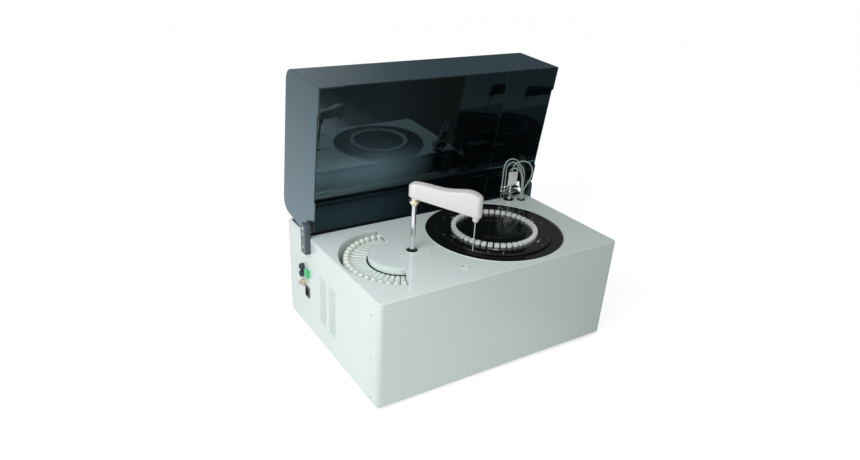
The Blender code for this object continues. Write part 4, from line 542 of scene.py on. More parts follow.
back = [(-HALF_W + SKIN_T + CLEAR, CLEAR), (HALF_W - SKIN_T - CLEAR, CLEAR),
        (HALF_W - SKIN_T - CLEAR, SKIN_TOP), (-HALF_W + SKIN_T + CLEAR, SKIN_TOP)]
slits = [rectangle((x - 0.028, x + 0.028), (z - 0.0025, z + 0.0025), 0.0024, 3)
         for x in (0.155, 0.225) for z in 0.06 + 0.0125 * np.arange(10)]
make_piece("back_skin", [pierced(back, slits, HALF_D - SKIN_T, HALF_D, "Y", high_edge=SKIN_EDGE)]
           + [outward([p[:, [0, 2, 1]], f]) for p, f in
              (domed(x, z, HALF_D, SCREW_R, SCREW_H, "Z", 16) for x in (-0.325, 0.325) for z in (0.025, 0.245))],
           PAINT, "housing", "rear_panel")


# Deck: one moulded cover plate with a rolled edge, a raised lip round the reaction unit and on the
# inner side of the carousel's opening, and white caps over its screws; a tray is sunk behind it, coloured
# near-black navy as painted shade.
DECK_LOW, DECK = 0.271, 0.274
REACTION, REACTION_R = (0.102, -0.052), 0.1803
REAGENT, SECTOR_IN, SECTOR_OUT = (-0.190, -0.063), 0.078, 0.150
SECTOR_FROM, SECTOR_TO = 85.0, 247.0
PROBE, PROBE_HOLE = (-0.152, -0.055), 0.015
WASH_HOLE, WASH_HOLE_R = (0.277, 0.105), 0.0158
GLAND, GLAND_HOLE = (0.308, 0.085), 0.0095
WELL, WELL_HOLE = (-0.089, -0.189), 0.0106
POCKET_X, POCKET_FRONT, POCKET_BACK, TRAY_FLOOR = 0.344, 0.122, 0.244, 0.262
LIP_W, LIP_H, CAP_R, CAP_H, SKIRT_LOW = 0.003, 0.0012, 0.0055, 0.0013, 0.2585


def sector(centre, inner, outer, start, end, steps=96, corner=0.0):
    """Outline of part of a ring between two radii and two angles in degrees, with eased corners."""
    angle = np.radians(np.linspace(start, end, steps))[:, None]
    arms = np.hstack([np.cos(angle), np.sin(angle)])
    outline = np.vstack([outer * arms, inner * arms[::-1]]) + centre
    radius = np.zeros(len(outline))
    radius[[0, steps - 1, steps, -1]] = corner
    return eased(outline, radius, 4)


# The tray's near-black navy is painted shade: it stands for the shaded deck seen under the open lid.
NAVY_PAINTED_SHADE = finish("rear_tray_painted_shade", (0.008, 0.011, 0.030), 0.30, coat=0.2, tone=0.3, uneven=0.1, grain=1200.0,
              relief=0.05)

meet = math.asin((POCKET_FRONT - REACTION[1]) / REACTION_R)
bay = np.linspace(math.pi - meet, 2 * math.pi + meet, 170)
bay = np.stack([REACTION[0] + REACTION_R * np.cos(bay), REACTION[1] + REACTION_R * np.sin(bay)], 1)
bay = np.vstack([[(-POCKET_X, POCKET_FRONT)], bay, [(POCKET_X, POCKET_FRONT), (POCKET_X, POCKET_BACK),
                                                   (-POCKET_X, POCKET_BACK)]])
openings = [eased(bay, [0.006] + [0] * 170 + [0.006] * 3),
            sector(REAGENT, SECTOR_IN, SECTOR_OUT, SECTOR_FROM, SECTOR_TO, 110, 0.0022),
            circle(*PROBE, PROBE_HOLE, 48), circle(*WASH_HOLE, WASH_HOLE_R, 48), circle(*GLAND, GLAND_HOLE, 36),
            circle(*WELL, WELL_HOLE, 36)]
deck_solids = [pierced(rectangle((-HALF_W, HALF_W), (-HALF_D, HALF_D), CORNER_R, 8), openings, DECK_LOW, DECK,
                       high_edge=0.0022, hole_edge=0.0003)]
deck_solids.append(plate(sector(REACTION, REACTION_R + 0.00002, REACTION_R + LIP_W, 108.5, 431.5, 170, 0.0013),
                         DECK - 0.001, DECK + LIP_H, edge=0.0011))
for inset, corner, low, high, edge in ((0.0, 0.0013, DECK - 0.001, DECK + LIP_H, 0.0011),
                                       (0.0001, 0.001, SKIRT_LOW, DECK_LOW - 0.0001, 0.0004)):
    deck_solids.append(plate(sector(REAGENT, SECTOR_IN - LIP_W + inset, SECTOR_IN - max(inset, 0.00002),
                                    SECTOR_FROM - 1.5, SECTOR_TO + 1.5, 90, corner), low, high, edge=edge))
deck_solids += [domed(x, y, DECK, CAP_R, CAP_H) for x, y in
                ((-0.343, -0.153), (0.343, -0.153), (-0.190, -0.070), (-0.116, -0.070), (0.277, 0.0712),
                 (0.2332, 0.115))]
make_piece("deck_cover", deck_solids, PAINT, "housing", "deck_panel")

tray_outer = rectangle((-0.3467, 0.3467), (0.116, 0.2467), 0.002)
tray_inner = rectangle((-POCKET_X, POCKET_X), (POCKET_FRONT, POCKET_BACK), 0.006)
tray_rings = [laid(tray_outer, z, "Z") for z in (TRAY_FLOOR - 0.002, SKIN_TOP)]
tray_rings += [laid(drawn_in(tray_inner, inset), z, "Z") for inset, z in
               ((0, SKIN_TOP), (0, TRAY_FLOOR + 0.003), (0.0009, TRAY_FLOOR + 0.0009), (0.003, TRAY_FLOOR))]
make_piece("rear_tray", [stacked(tray_rings)], NAVY_PAINTED_SHADE, "housing", "rear_deck")


# Reaction unit: a gloss black bezel that dishes down to a heated bowl, and the motor below it.
BEZEL_OUT = 0.180


def around(solid, centre, angles):
    """Copies of a solid turned about a centre by each angle in degrees, as one solid."""
    points, sets = solid
    angle = np.radians(np.asarray(angles, float))[:, None]
    local = points - (*centre, 0)
    x = local[:, 0] * np.cos(angle) - local[:, 1] * np.sin(angle)
    y = local[:, 0] * np.sin(angle) + local[:, 1] * np.cos(angle)
    turned_points = np.stack([x, y, np.broadcast_to(local[:, 2], x.shape)], -1) + (*centre, 0)
    shift = len(points) * np.arange(len(angle))[:, None, None]
    return [turned_points.reshape(-1, 3),
            [((faces[None] + shift).reshape(-1, faces.shape[1]), number, flat) for faces, number, flat in sets]]


GLOSS_BLACK = finish("gloss_black", (0.0085, 0.0095, 0.0105), 0.13, coat=0.15, ior=1.55, tone=0.2, uneven=0.05,
                     grain=700.0, relief=0.012)
STEEL_GREY = finish("motor_steel", (0.42, 0.43, 0.45), 0.36, metallic=1.0, tone=0.15, uneven=0.15)
BLACK_MATT = finish("matt_black", (0.022, 0.023, 0.025), 0.48, tone=0.2, uneven=0.1, grain=1100.0, relief=0.12)

bezel = eased([(BEZEL_OUT, 0.2713), (BEZEL_OUT, 0.2743), (0.1765, 0.27425), (0.1745, 0.2736), (0.1610, 0.2730),
               (0.1320, 0.2730), (0.1320, 0.2310), (0.0120, 0.2310), (0.0120, 0.2280), (0.1350, 0.2280),
               (0.1350, 0.2713)], [0, 0.0008, 0.0008, 0.0008, 0.001, 0.0015, 0.003, 0.0003, 0, 0.001, 0.001], 4)
make_piece("reaction_bezel", [turned(bezel, REACTION, 180)], GLOSS_BLACK, "housing", "reaction_bowl")
refinish(STEEL_GREY, "reaction_motor", "reagent_motor", "power_supply", "syringe_pump", "probe_column",
         "probe_carriage")
refinish(BLACK_MATT, "photometer")


# Reaction disk: a black moulded disk with 42 square windows, through which the collars of six
# strips of clear cuvettes stand up; clips hold the strips, and a hub joins the disk to its motor.
DISK_R, DISK_LOW, DISK_TOP = 0.152, 0.2745, 0.2775
CUVETTE_R, CUVETTES, STRIPS = 0.107, 42, 6
WINDOW_HALF, COLLAR_HALF, COLLAR_TOP = 0.0064, 0.0061, 0.2855
STRIP_HALF, STRIP_TOP, STRIP_T = 0.009, 0.2742, 0.0027
CUVETTE_HALF, CUVETTE_LOW, BORE_HALF = 0.0045, 0.2402, 0.0019
DISK_BEADS = ((0.1475, 0.0011, 0.0004), (0.0905, 0.0010, 0.0005), (0.0570, 0.0014, 0.0007))
CLIP_TURNS, CLIP_IN, CLIP_OUT, CLIP_HALF = (-126, -62, -3, 55, 116, 176), 0.1225, 0.1270, 0.0085
PIN_RING, PIN_TURN = 0.142, 7.5
step_deg = 360 / CUVETTES


def square(x, y, half, corner, steps=3):
    """A square round a point with eased corners."""
    return rectangle((x - half, x + half), (y - half, y + half), corner, steps)


CUVETTE = finish("cuvette_plastic", (0.86, 0.89, 0.90), 0.24, coat=0.5, tone=0.06, uneven=0.06, grain=600.0)
CLIP = finish("strip_clip", (0.78, 0.80, 0.79), 0.22, metallic=0.9, tone=0.1)

one_window = square(REACTION[0] + CUVETTE_R, REACTION[1], WINDOW_HALF, 0.0012)
angles = np.radians((np.arange(CUVETTES) + 0.5) * step_deg)
local = one_window - REACTION
windows = [np.column_stack([local[:, 0] * math.cos(a) - local[:, 1] * math.sin(a),
                            local[:, 0] * math.sin(a) + local[:, 1] * math.cos(a)]) + REACTION for a in angles]
disk_solids = [pierced(circle(*REACTION, DISK_R, 180), windows, DISK_LOW, DISK_TOP, low_edge=0.0005,
                       high_edge=0.0009, hole_edge=0.0004)]
for radius, width, rise in DISK_BEADS:
    disk_solids.append(turned(eased([(radius - width, DISK_TOP - 0.0005), (radius + width, DISK_TOP - 0.0005),
                                     (radius + width, DISK_TOP + rise), (radius - width, DISK_TOP + rise)],
                                    [0, 0, rise * 0.9, rise * 0.9], 3), REACTION, 144))
clips = []
for at in CLIP_TURNS:
    clip = plate(rectangle((REACTION[0] + CLIP_IN, REACTION[0] + CLIP_OUT),
                           (REACTION[1] - CLIP_HALF, REACTION[1] + CLIP_HALF), 0.0008),
                 DISK_TOP - 0.0005, DISK_TOP + 0.0012, edge=0.0006, number=1)
    pin = numbered(domed(REACTION[0] + PIN_RING, REACTION[1], DISK_TOP, 0.0014, 0.0009, steps=12), 1)
    clips += [around(clip, REACTION, [at]), around(pin, REACTION, [at - PIN_TURN, at + PIN_TURN])]
make_piece("reaction_rotor_disk", disk_solids + clips, [GLOSS_BLACK, CLIP], "reaction_rotor", "reaction_disk")
refinish(STEEL_GREY, "reaction_hub")

cuvette_wall = [(CUVETTE_HALF - 0.0008, CUVETTE_LOW), (CUVETTE_HALF, CUVETTE_LOW + 0.0008), (CUVETTE_HALF, 0.2718),
                (COLLAR_HALF, 0.2728), (COLLAR_HALF, COLLAR_TOP - 0.0012),
                (COLLAR_HALF - 0.0004, COLLAR_TOP - 0.0004), (COLLAR_HALF - 0.0012, COLLAR_TOP),
                (BORE_HALF + 0.0008, COLLAR_TOP),
                (BORE_HALF + 0.0002, COLLAR_TOP - 0.0004), (BORE_HALF, COLLAR_TOP - 0.0014), (BORE_HALF, 0.2432)]
cuvette = stacked([laid(square(REACTION[0] + CUVETTE_R, REACTION[1], half, half * 0.32), z, "Z")
                   for half, z in cuvette_wall])
edge_deg = math.degrees(CLEAR / CUVETTE_R)
for k in range(STRIPS):
    start = k * 360 / STRIPS
    strip = plate(sector(REACTION, CUVETTE_R - STRIP_HALF, CUVETTE_R + STRIP_HALF, start + edge_deg,
                         start + 360 / STRIPS - edge_deg, 22, 0.001), STRIP_TOP - STRIP_T, STRIP_TOP, edge=0.0004)
    make_piece(f"cuvettes_{k + 1}", [strip, around(cuvette, REACTION, start + (np.arange(7) + 0.5) * step_deg)],
               CUVETTE, "reaction_rotor", f"cuvette_strip_{k + 1}")


# Reagent carousel: a pale tub hung under the deck, in it a turning tray of 45 wedge bottles, each
# with a domed pearl-white cap at its outer end; a rubber wheel drives the tray's inner rim.
BOTTLES, BOTTLE_IN, BOTTLE_OUT, GROOVE = 45, 0.0875, 0.1385, 0.0009
BOTTLE_LOW, BOTTLE_SHOULDER, BOTTLE_TOP, BOTTLE_LIP_IN = 0.1596, 0.246, 0.258, 0.0805
CAP_RING, BOTTLE_CAP_R, BOTTLE_CAP_TOP = 0.130, 0.0081, 0.270

TUB_PALE = finish("tub_pale", (0.66, 0.75, 0.71), 0.42, tone=0.2, uneven=0.1, grain=1000.0, relief=0.1)
BOTTLE = finish("bottle_plastic", (0.75, 0.85, 0.80), 0.34, coat=0.15, tone=0.07, uneven=0.08, grain=420.0,
                relief=0.05)
PEARL = finish("cap_pearl", (0.78, 0.83, 0.785), 0.22, coat=0.5, tone=0.06, uneven=0.06, grain=500.0, relief=0.03)
make_piece("carousel_tub", [turned(eased([(0.1515, 0.150), (0.1515, 0.2707), (0.1485, 0.2707), (0.1485, 0.153),
                                          (0.092, 0.153), (0.092, 0.150)],
                                         [0.002, 0.0005, 0.0005, 0.003, 0.0005, 0.0005], 4), REAGENT, 144)],
           TUB_PALE, "housing", "reagent_tub")
make_piece("carousel_tray", [turned(eased([(0.142, 0.1533), (0.142, 0.1833), (0.139, 0.1833), (0.139, 0.1593),
                                           (0.084, 0.1593), (0.084, 0.1533)],
                                          [0.0015, 0.0008, 0.0008, 0.002, 0.0008, 0.0008], 3), REAGENT, 144)],
           TUB_PALE, "reagent_carousel", "reagent_tray")
refinish(RUBBER, "reagent_drive_wheel")

half_angle = math.pi / BOTTLES
inner, outer = BOTTLE_IN + GROOVE, BOTTLE_OUT - GROOVE / 2
wedges = []
for start in (inner, BOTTLE_LIP_IN):
    thin, wide = (r * math.tan(half_angle) - GROOVE / 2 for r in (start, BOTTLE_OUT))
    wedges.append(anticlockwise(eased(np.array([(start, -thin), (outer, -wide), (outer, wide), (start, thin)])
                                      + REAGENT, [0.0012, 0.0022, 0.0022, 0.0012], 3)))
bottle_wall = [(0, 0.0012, BOTTLE_LOW), (0, 0, BOTTLE_LOW + 0.0015), (0, 0, BOTTLE_SHOULDER - 0.036),
               (1, 0, BOTTLE_SHOULDER - 0.026), (1, 0, BOTTLE_SHOULDER + 0.0075),
               (1, 0.0003, BOTTLE_SHOULDER + 0.0095), (1, 0.0009, BOTTLE_TOP - 0.0008), (1, 0.0018, BOTTLE_TOP)]
bottle = stacked([laid(drawn_in(wedges[k], inset), z, "Z") for k, inset, z in bottle_wall])
pearl = [(0, BOTTLE_TOP - 0.001), (BOTTLE_CAP_R - 0.0012, BOTTLE_TOP - 0.001), (BOTTLE_CAP_R - 0.0012, 0.2592),
         (BOTTLE_CAP_R - 0.0002, 0.2598), (BOTTLE_CAP_R, 0.2615), (BOTTLE_CAP_R - 0.0003, 0.2640),
         (BOTTLE_CAP_R - 0.0013, 0.2664), (BOTTLE_CAP_R - 0.0030, 0.2685), (BOTTLE_CAP_R - 0.0052, 0.2697),
         (0, BOTTLE_CAP_TOP)]
pearl = turned(pearl, (REAGENT[0] + CAP_RING, REAGENT[1]), 16, number=1)
seats = (np.arange(BOTTLES) + 0.5) * 360 / BOTTLES
make_piece("bottle_ring", [around(bottle, REAGENT, seats), around(pearl, REAGENT, seats)], [BOTTLE, PEARL],
           "reagent_carousel", "reagent_bottles")


# Probe: a cream moulded arm with a waved back, on a polished steel shaft that lifts and turns it,
# held by a brass-coloured collar; a short nozzle under its end carries the steel needle.
SHAFT_R, SHAFT_LOW, SHAFT_TOP = 0.006, 0.125, 0.4095
ARM_TURN, REACH, TAIL, NOSE = math.radians(-41.5), 0.147, 0.0145, 0.0135
TAIL_HALF, NOSE_HALF, ARM_FILLET = 0.0135, 0.0165, 0.0048
ARM_BASE, BASE_DROP, BACK_H, CREST_DIP, NOSE_RISE, NOSE_FALL = 0.4125, 0.031, 0.0350, 0.0095, 0.0030, 0.0140
NEEDLE_R, NEEDLE_TIP, NOZZLE_R, NOZZLE_LOW = 0.0012, 0.288, 0.008, 0.366


def arm_half_width(s):
    """Half width along the arm: a straight taper between the ends, times the height of a circle over each end."""
    width = TAIL_HALF + (NOSE_HALF - TAIL_HALF) * (s + TAIL) / (REACH + NOSE + TAIL)
    over = np.where(s < 0, s / TAIL, np.maximum(s - REACH, 0) / NOSE)
    return width * np.sqrt(np.clip(1 - over ** 2, 0, 1))


def arm_bottom(s):
    """Height of the underside: a straight slope from the shaft to the nozzle."""
    return ARM_BASE - BASE_DROP * s / REACH


def arm_top(s):
    """Height of the back: the crest less a squared sine for the hollow, plus one for the second crest, less
    parabolas at the tail and the nose."""
    share = np.clip(s / REACH, 0, 1)
    hollow = np.sin(np.pi * np.minimum(1, share / 0.56) / 2) ** 2
    second = np.sin(np.pi * np.maximum(0, (share - 0.56) / 0.44) / 2) ** 2
    height = ARM_BASE + BACK_H - CREST_DIP * hollow + NOSE_RISE * second
    height = height - np.where(s < 0, (BACK_H / 5) * (s / TAIL) ** 2, 0)
    fall = (s - 0.8 * REACH) / (REACH + NOSE - 0.8 * REACH)
    return height - np.where(share > 0.8, NOSE_FALL * fall ** 2, 0)


def swung(solid):
    """A solid drawn along +X from the shaft's axis, turned to the arm's angle."""
    x, y, z = solid[0].T
    return [np.stack([PROBE[0] + x * math.cos(ARM_TURN) - y * math.sin(ARM_TURN),
                      PROBE[1] + x * math.sin(ARM_TURN) + y * math.cos(ARM_TURN), z], 1), solid[1]]


CREAM = finish("cream_plastic", (0.85, 0.85, 0.825), 0.30, coat=0.25, tone=0.02, uneven=0.08, grain=1300.0,
               relief=0.04)
CHROME = finish("polished_steel", (0.75, 0.76, 0.77), 0.11, metallic=1.0, tone=0.06, uneven=0.06, grain=900.0,
                relief=0.02, stretch=(1, 1, 0.05))
BRASS = finish("brass_collar", (0.83, 0.77, 0.62), 0.27, metallic=1.0, tone=0.08, uneven=0.1)

make_piece("probe_rod", [turned(eased([(0, SHAFT_LOW), (SHAFT_R, SHAFT_LOW), (SHAFT_R, SHAFT_TOP), (0, SHAFT_TOP)],
                                      [0, 0.0008, 0.0008, 0], 3, closed=False), PROBE, 48)], CHROME, "probe",
           "probe_shaft")
make_piece("probe_clamp", [turned(eased([(0.0063, 0.391), (0.0085, 0.391), (0.0085, 0.397), (0.013, 0.397),
                                         (0.013, 0.405), (0.009, 0.405), (0.009, 0.4098), (0.0063, 0.4098)],
                                        [0, 0.0006, 0.0008, 0.0012, 0.0012, 0.0008, 0.0003, 0], 4), PROBE, 56)],
           BRASS, "probe", "probe_collar")

stations = np.concatenate([-TAIL * np.cos(np.pi / 2 * np.linspace(0, 1, 15)[:-1]) * 0.9995,
                           np.linspace(0, REACH, 49)[:-1],
                           REACH + NOSE * np.sin(np.pi / 2 * np.linspace(0, 1, 17)) * 0.9995])
half, low, high = arm_half_width(stations), arm_bottom(stations), arm_top(stations)
turn = np.linspace(0, np.pi / 2, 7)
fillet = np.minimum(ARM_FILLET, half * 0.999)
foot = np.minimum(0.0007, half * 0.4)
side_in = np.concatenate([[1, 0.3, 0], 1 - np.cos(turn)])
side_up = np.concatenate([[0, 0.3, 1], np.sin(turn)])
is_foot = np.arange(10) < 3
inset = np.where(is_foot, foot[:, None] * side_in, fillet[:, None] * side_in)
level = np.where(is_foot, low[:, None] + foot[:, None] * side_up,
                 high[:, None] - fillet[:, None] * (1 - side_up))
left_side = np.stack([np.broadcast_to(stations[:, None], inset.shape), inset - half[:, None], level], -1)
right_side = (left_side * (1, -1, 1))[:, ::-1]
make_piece("arm_cover", [swung(stacked(np.concatenate([left_side, right_side], 1)))], CREAM, "probe", "probe_arm",
           crease=50)
seat = float(arm_bottom(np.array(REACH + NOZZLE_R))) - CLEAR
make_piece("arm_nozzle", [swung(turned(eased([(0.0015, seat), (NOZZLE_R, seat), (NOZZLE_R, NOZZLE_LOW + 0.004),
                                              (0.0058, NOZZLE_LOW), (0.0015, NOZZLE_LOW)],
                                             [0, 0.0004, 0.002, 0.0008, 0.0003], 4), (REACH, 0), 40))],
           CREAM, "probe", "probe_nozzle")
make_piece("arm_needle", [swung(turned([(0, seat), (NEEDLE_R, seat), (NEEDLE_R, NEEDLE_TIP + 0.0036),
                                        (0.0004, NEEDLE_TIP), (0, NEEDLE_TIP)], (REACH, 0), 16))],
           CHROME, "probe", "probe_needle")
make_piece("rinse_well", [turned(eased([(0, 0.254), (0.0103, 0.254), (0.0103, 0.2758), (0.0085, 0.2758),
                                        (0.0085, 0.2558), (0, 0.2558)], [0, 0.0005, 0.0008, 0.0006, 0.002, 0], 4,
                                       closed=False), WELL, 40)],
           PAINT, "housing", "probe_wash_well")


# Wash station: a holder of two steel plates with five hex nozzles and steel needles lifts on a
# shaft out of a black cup; four cream sleeves stand in front, and thin tubes loop into a black gland.
WASH, WASH_SHAFT, ROW_Y = (0.277, 0.108), (0.277, 0.1025), 0.1145
NUT_R, NUT_PITCH, SLEEVE_R, SLEEVE_PITCH, SLEEVE_MID = 0.0044, 0.0108, 0.0042, 0.008, 0.283
CUP_R, CUP_WALL, CUP_FLOOR = 0.0155, 0.0015, 0.2587
HOLDER_X, HOLDER_Y, HOLDER_T, HOLDER_LEVELS, NEEDLE_LOW = 0.028, 0.013, 0.0024, (0.297, 0.3095), 0.280
NUT_END, SLEEVE_END, GLAND_TOP, TUBE_R, TUBE_RING, TUBE_END = 0.3152, 0.3573, 0.265, 0.0017, 0.0038, 0.236


def nut_x(i):
    """Middle of a nozzle in the row."""
    return WASH[0] + (i - 2) * NUT_PITCH


def sleeve_x(i):
    """Middle of a sleeve in the row."""
    return SLEEVE_MID + (i - 1.5) * SLEEVE_PITCH


def in_gland(i, z):
    """Centre of a tube in the ring of five that enters the gland."""
    angle = math.radians(100 + 72 * i)
    return GLAND[0] + TUBE_RING * math.cos(angle), GLAND[1] + TUBE_RING * math.sin(angle), z


def smooth_route(points, pieces=8):
    """A centripetal curve through points: each stretch is blended from four neighbours by the square root of
    their distances."""
    p = np.asarray(points, float)
    p = np.vstack([2 * p[0] - p[1], p, 2 * p[-1] - p[-2]])
    knot = np.concatenate([[0], np.cumsum(np.linalg.norm(np.diff(p, axis=0), axis=1) ** 0.5)])
    a, b, c, d = (p[k:len(p) - 3 + k, None] for k in range(4))
    t0, t1, t2, t3 = (knot[k:len(p) - 3 + k, None, None] for k in range(4))
    t = t1 + (t2 - t1) * np.linspace(0, 1, pieces, endpoint=False)[:, None]
    a1 = (t1 - t) / (t1 - t0) * a + (t - t0) / (t1 - t0) * b
    a2 = (t2 - t) / (t2 - t1) * b + (t - t1) / (t2 - t1) * c
    a3 = (t3 - t) / (t3 - t2) * c + (t - t2) / (t3 - t2) * d
    b1 = (t2 - t) / (t2 - t0) * a1 + (t - t0) / (t2 - t0) * a2
    b2 = (t3 - t) / (t3 - t1) * a2 + (t - t1) / (t3 - t1) * a3
    curve = (t2 - t) / (t2 - t1) * b1 + (t - t1) / (t2 - t1) * b2
    return np.vstack([curve.reshape(-1, 3), p[-2]])


def hose(path, radius, steps=12, number=0):
    """A tube along a path: at each point a circle across the path's tangent, framed against one fixed direction
    that no stretch runs along."""
    tangent = unit(np.gradient(path, axis=0))
    side = unit(np.cross(tangent, (-0.62, 0.78, 0.06)))
    other = np.cross(side, tangent)
    angle = np.linspace(0, 2 * np.pi, steps, endpoint=False)
    rings = (path[:, None] + radius * (np.cos(angle)[:, None] * side[:, None]
                                       + np.sin(angle)[:, None] * other[:, None]))
    return stacked(rings, number)


def hex_nut(x, y, low, high, radius, axis="Z", number=0):
    """A six-sided nut with broken edges."""
    return plate(eased(circle(x, y, radius, 6), 0.0004, 2), low, high, axis, 0.0005, number=number)


TUBE = finish("tube_silicone", (0.42, 0.54, 0.51), 0.28, coat=0.3, tone=0.12, uneven=0.08, grain=500.0)
BRUSHED = finish("brushed_steel", (0.60, 0.61, 0.62), 0.27, metallic=1.0, tone=0.1, uneven=0.12, grain=700.0,
                 relief=0.05, stretch=(0.06, 1, 1))

cup = turned(eased([(0, 0.2560), (CUP_R, 0.2560), (CUP_R, 0.2742), (CUP_R - CUP_WALL, 0.2742),
                    (CUP_R - CUP_WALL, CUP_FLOOR), (0, CUP_FLOOR)],
                   [0, 0.001, 0.0006, 0.0006, 0.0015, 0], 3, closed=False), WASH_HOLE, 48)
column = turned([(0, 0.0033), (0.022, 0.0033), (0.022, 0.030), (0.011, 0.030), (0.011, CUP_FLOOR), (0, CUP_FLOOR)],
                WASH_SHAFT, 32)
bush = turned(eased([(0.0056, 0.2570), (0.0085, 0.2570), (0.0085, 0.2620), (0.0056, 0.2620)],
                    [0, 0.0003, 0.0008, 0.0003], 3), WASH_SHAFT, 32)
make_piece("wash_cup", [cup, column, bush], BLACK_MATT, "housing", "wash_guide")
make_piece("wash_rod", [turned(eased([(0, 0.130), (0.0052, 0.130), (0.0052, 0.3192), (0, 0.3192)],
                                     [0, 0.0006, 0.0006, 0], 3, closed=False), WASH_SHAFT, 40)],
           CHROME, "wash_head", "wash_shaft")
holder_outline = rectangle((WASH[0] - HOLDER_X, WASH[0] + HOLDER_X), (WASH[1] - HOLDER_Y, WASH[1] + HOLDER_Y),
                           0.002)
holder = [pierced(holder_outline, [circle(*WASH_SHAFT, 0.0055, 24)], z, z + HOLDER_T, low_edge=0.0004,
                  high_edge=0.0005) for z in HOLDER_LEVELS]
holder += [block((WASH[0] + s * 0.0256 - 0.0012, WASH[0] + s * 0.0256 + 0.0012),
                 (WASH[1] - 0.0077, WASH[1] - 0.0053), (0.298, 0.3105), 0.0002, corner=0.0004) for s in (-1, 1)]
for i in range(5):
    holder += [hex_nut(nut_x(i), ROW_Y, 0.2978, 0.3149, NUT_R),
               turned(eased([(0, 0.2935), (0.0024, 0.2935), (0.0032, 0.2978), (0, 0.2978)],
                            [0, 0.0004, 0.0003, 0], 3, closed=False), (nut_x(i), ROW_Y), 16),
               turned([(0, NEEDLE_LOW), (0.0007, NEEDLE_LOW), (0.0011, NEEDLE_LOW + 0.0015), (0.0011, 0.2990),
                       (0, 0.2990)],
                      (nut_x(i), ROW_Y), 12)]
make_piece("wash_plates", holder, BRUSHED, "wash_head", "wash_holder")
sleeve = [(0, 0.3205), (SLEEVE_R, 0.3205), (SLEEVE_R, 0.3290), (0.0037, 0.3298), (0.0037, 0.3520),
          (SLEEVE_R, 0.3528), (SLEEVE_R, 0.3562), (0.0034, 0.3570), (0, 0.3570)]
sleeves = [block((0.2668, 0.2992), (WASH_SHAFT[1] - SLEEVE_R, WASH_SHAFT[1] + SLEEVE_R), (0.3195, 0.3235), 0.0005,
                 corner=0.003)]
sleeves += [turned(eased(sleeve, [0, 0, 0.0004, 0.0004, 0.0004, 0.0004, 0.0005, 0.0004, 0], 2, closed=False),
                   (sleeve_x(i), WASH_SHAFT[1]), 24) for i in range(4)]
make_piece("sleeve_block", sleeves, CREAM, "wash_head", "wash_sleeves")

nut_0, nut_1, sleeve_0, sleeve_1, sleeve_3 = nut_x(0), nut_x(1), sleeve_x(0), sleeve_x(1), sleeve_x(3)
# Each tube's place in the gland, the heights at which it is straight above it, and its arc from the wash head.
routes = [
    (0, (0.338, 0.300), [(nut_0, 0.1145, NUT_END), (nut_0, 0.1145, 0.345), (nut_0 + 0.001, 0.1145, 0.370),
                         (0.262, 0.113, 0.387), (0.275, 0.110, 0.395), (0.292, 0.1055, 0.391),
                         (0.304, 0.0995, 0.375)]),
    (1, (0.328, 0.300), [(nut_1, 0.1145, NUT_END), (nut_1, 0.1145, 0.345), (nut_1, 0.1145, 0.368),
                         (0.271, 0.110, 0.382), (0.282, 0.104, 0.386), (0.293, 0.097, 0.377),
                         (0.3000, 0.0905, 0.358)]),
    (2, (0.320, 0.300), [(sleeve_0, 0.1025, SLEEVE_END), (sleeve_0, 0.1025, 0.363), (0.273, 0.099, 0.3685),
                         (0.2805, 0.094, 0.3715), (0.291, 0.088, 0.366), (0.300, 0.083, 0.349)]),
    (4, (0.324, 0.300), [(sleeve_3, 0.1025, SLEEVE_END), (sleeve_3, 0.1025, 0.363), (0.2970, 0.1045, 0.3710),
                         (0.3025, 0.1063, 0.3755), (0.3095, 0.1045, 0.3740), (0.3152, 0.0995, 0.3650),
                         (0.3165, 0.0935, 0.349)]),
    (3, (0.302,), [(sleeve_1, 0.1025, SLEEVE_END), (sleeve_1, 0.1025, 0.366), (0.2815, 0.0985, 0.3805),
                   (0.290, 0.0925, 0.3895), (0.303, 0.084, 0.3925), (0.316, 0.0755, 0.386),
                   (0.3235, 0.070, 0.369), (0.3215, 0.0715, 0.342)])]
for i, (place, heights, arc) in enumerate(routes):
    path = smooth_route(arc + [in_gland(place, z) for z in (*heights, GLAND_TOP, TUBE_END)])
    tube = make_piece(f"rinse_tube_{i + 1}", [hose(path, TUBE_R)], TUBE, "wash_head", f"wash_tube_{i + 1}")
gland = eased([(0.0062, 0.264), (0.0092, 0.264), (0.0092, 0.2743), (0.0115, 0.2743), (0.0115, 0.2762),
               (0.0062, 0.2762)], [0, 0.0005, 0.0002, 0.0006, 0.0009, 0.0006], 3)
make_piece("gland_ring", [turned(gland, GLAND, 40)], BLACK_MATT, "housing", "tube_gland")


# Lid: one thermoformed shell of smoked acrylic, open at the bottom and at the back, notched round
# its hinges; its inside is a dark mirror, its outside a smoky blue-grey. Both carry painted light: a
# lighter glow painted into their colour low on the lid, on the inside also towards the left.
HINGE_Y, HINGE_Z, OPEN = 0.1195, 0.301, math.radians(82.5)
LID_HALF, LID_T, LID_REACH, LID_REAR = 0.346, 0.0035, 0.365, 0.032
LID_DEPTH, LID_CROWN, LID_DROP, REAR_LOW, NOTCH_LOW = 0.1965, 0.009, 0.0265, 0.040, 0.079
FRONT_SLOPE, FRONT_R, REAR_R, STEP, LID_EDGE = 0.009 / 0.150, 0.036, 0.034, 0.003, 0.0009


def lid_open(points):
    """Closed-lid points (x, forward of the hinge, height above the rim) turned about the hinge to the open pose."""
    x, forward, height = np.moveaxis(np.asarray(points, float), -1, 0)
    y, z = -forward, height - LID_DROP
    return np.stack([x, HINGE_Y + math.cos(OPEN) * y + math.sin(OPEN) * z,
                     HINGE_Z - math.sin(OPEN) * y + math.cos(OPEN) * z], -1)


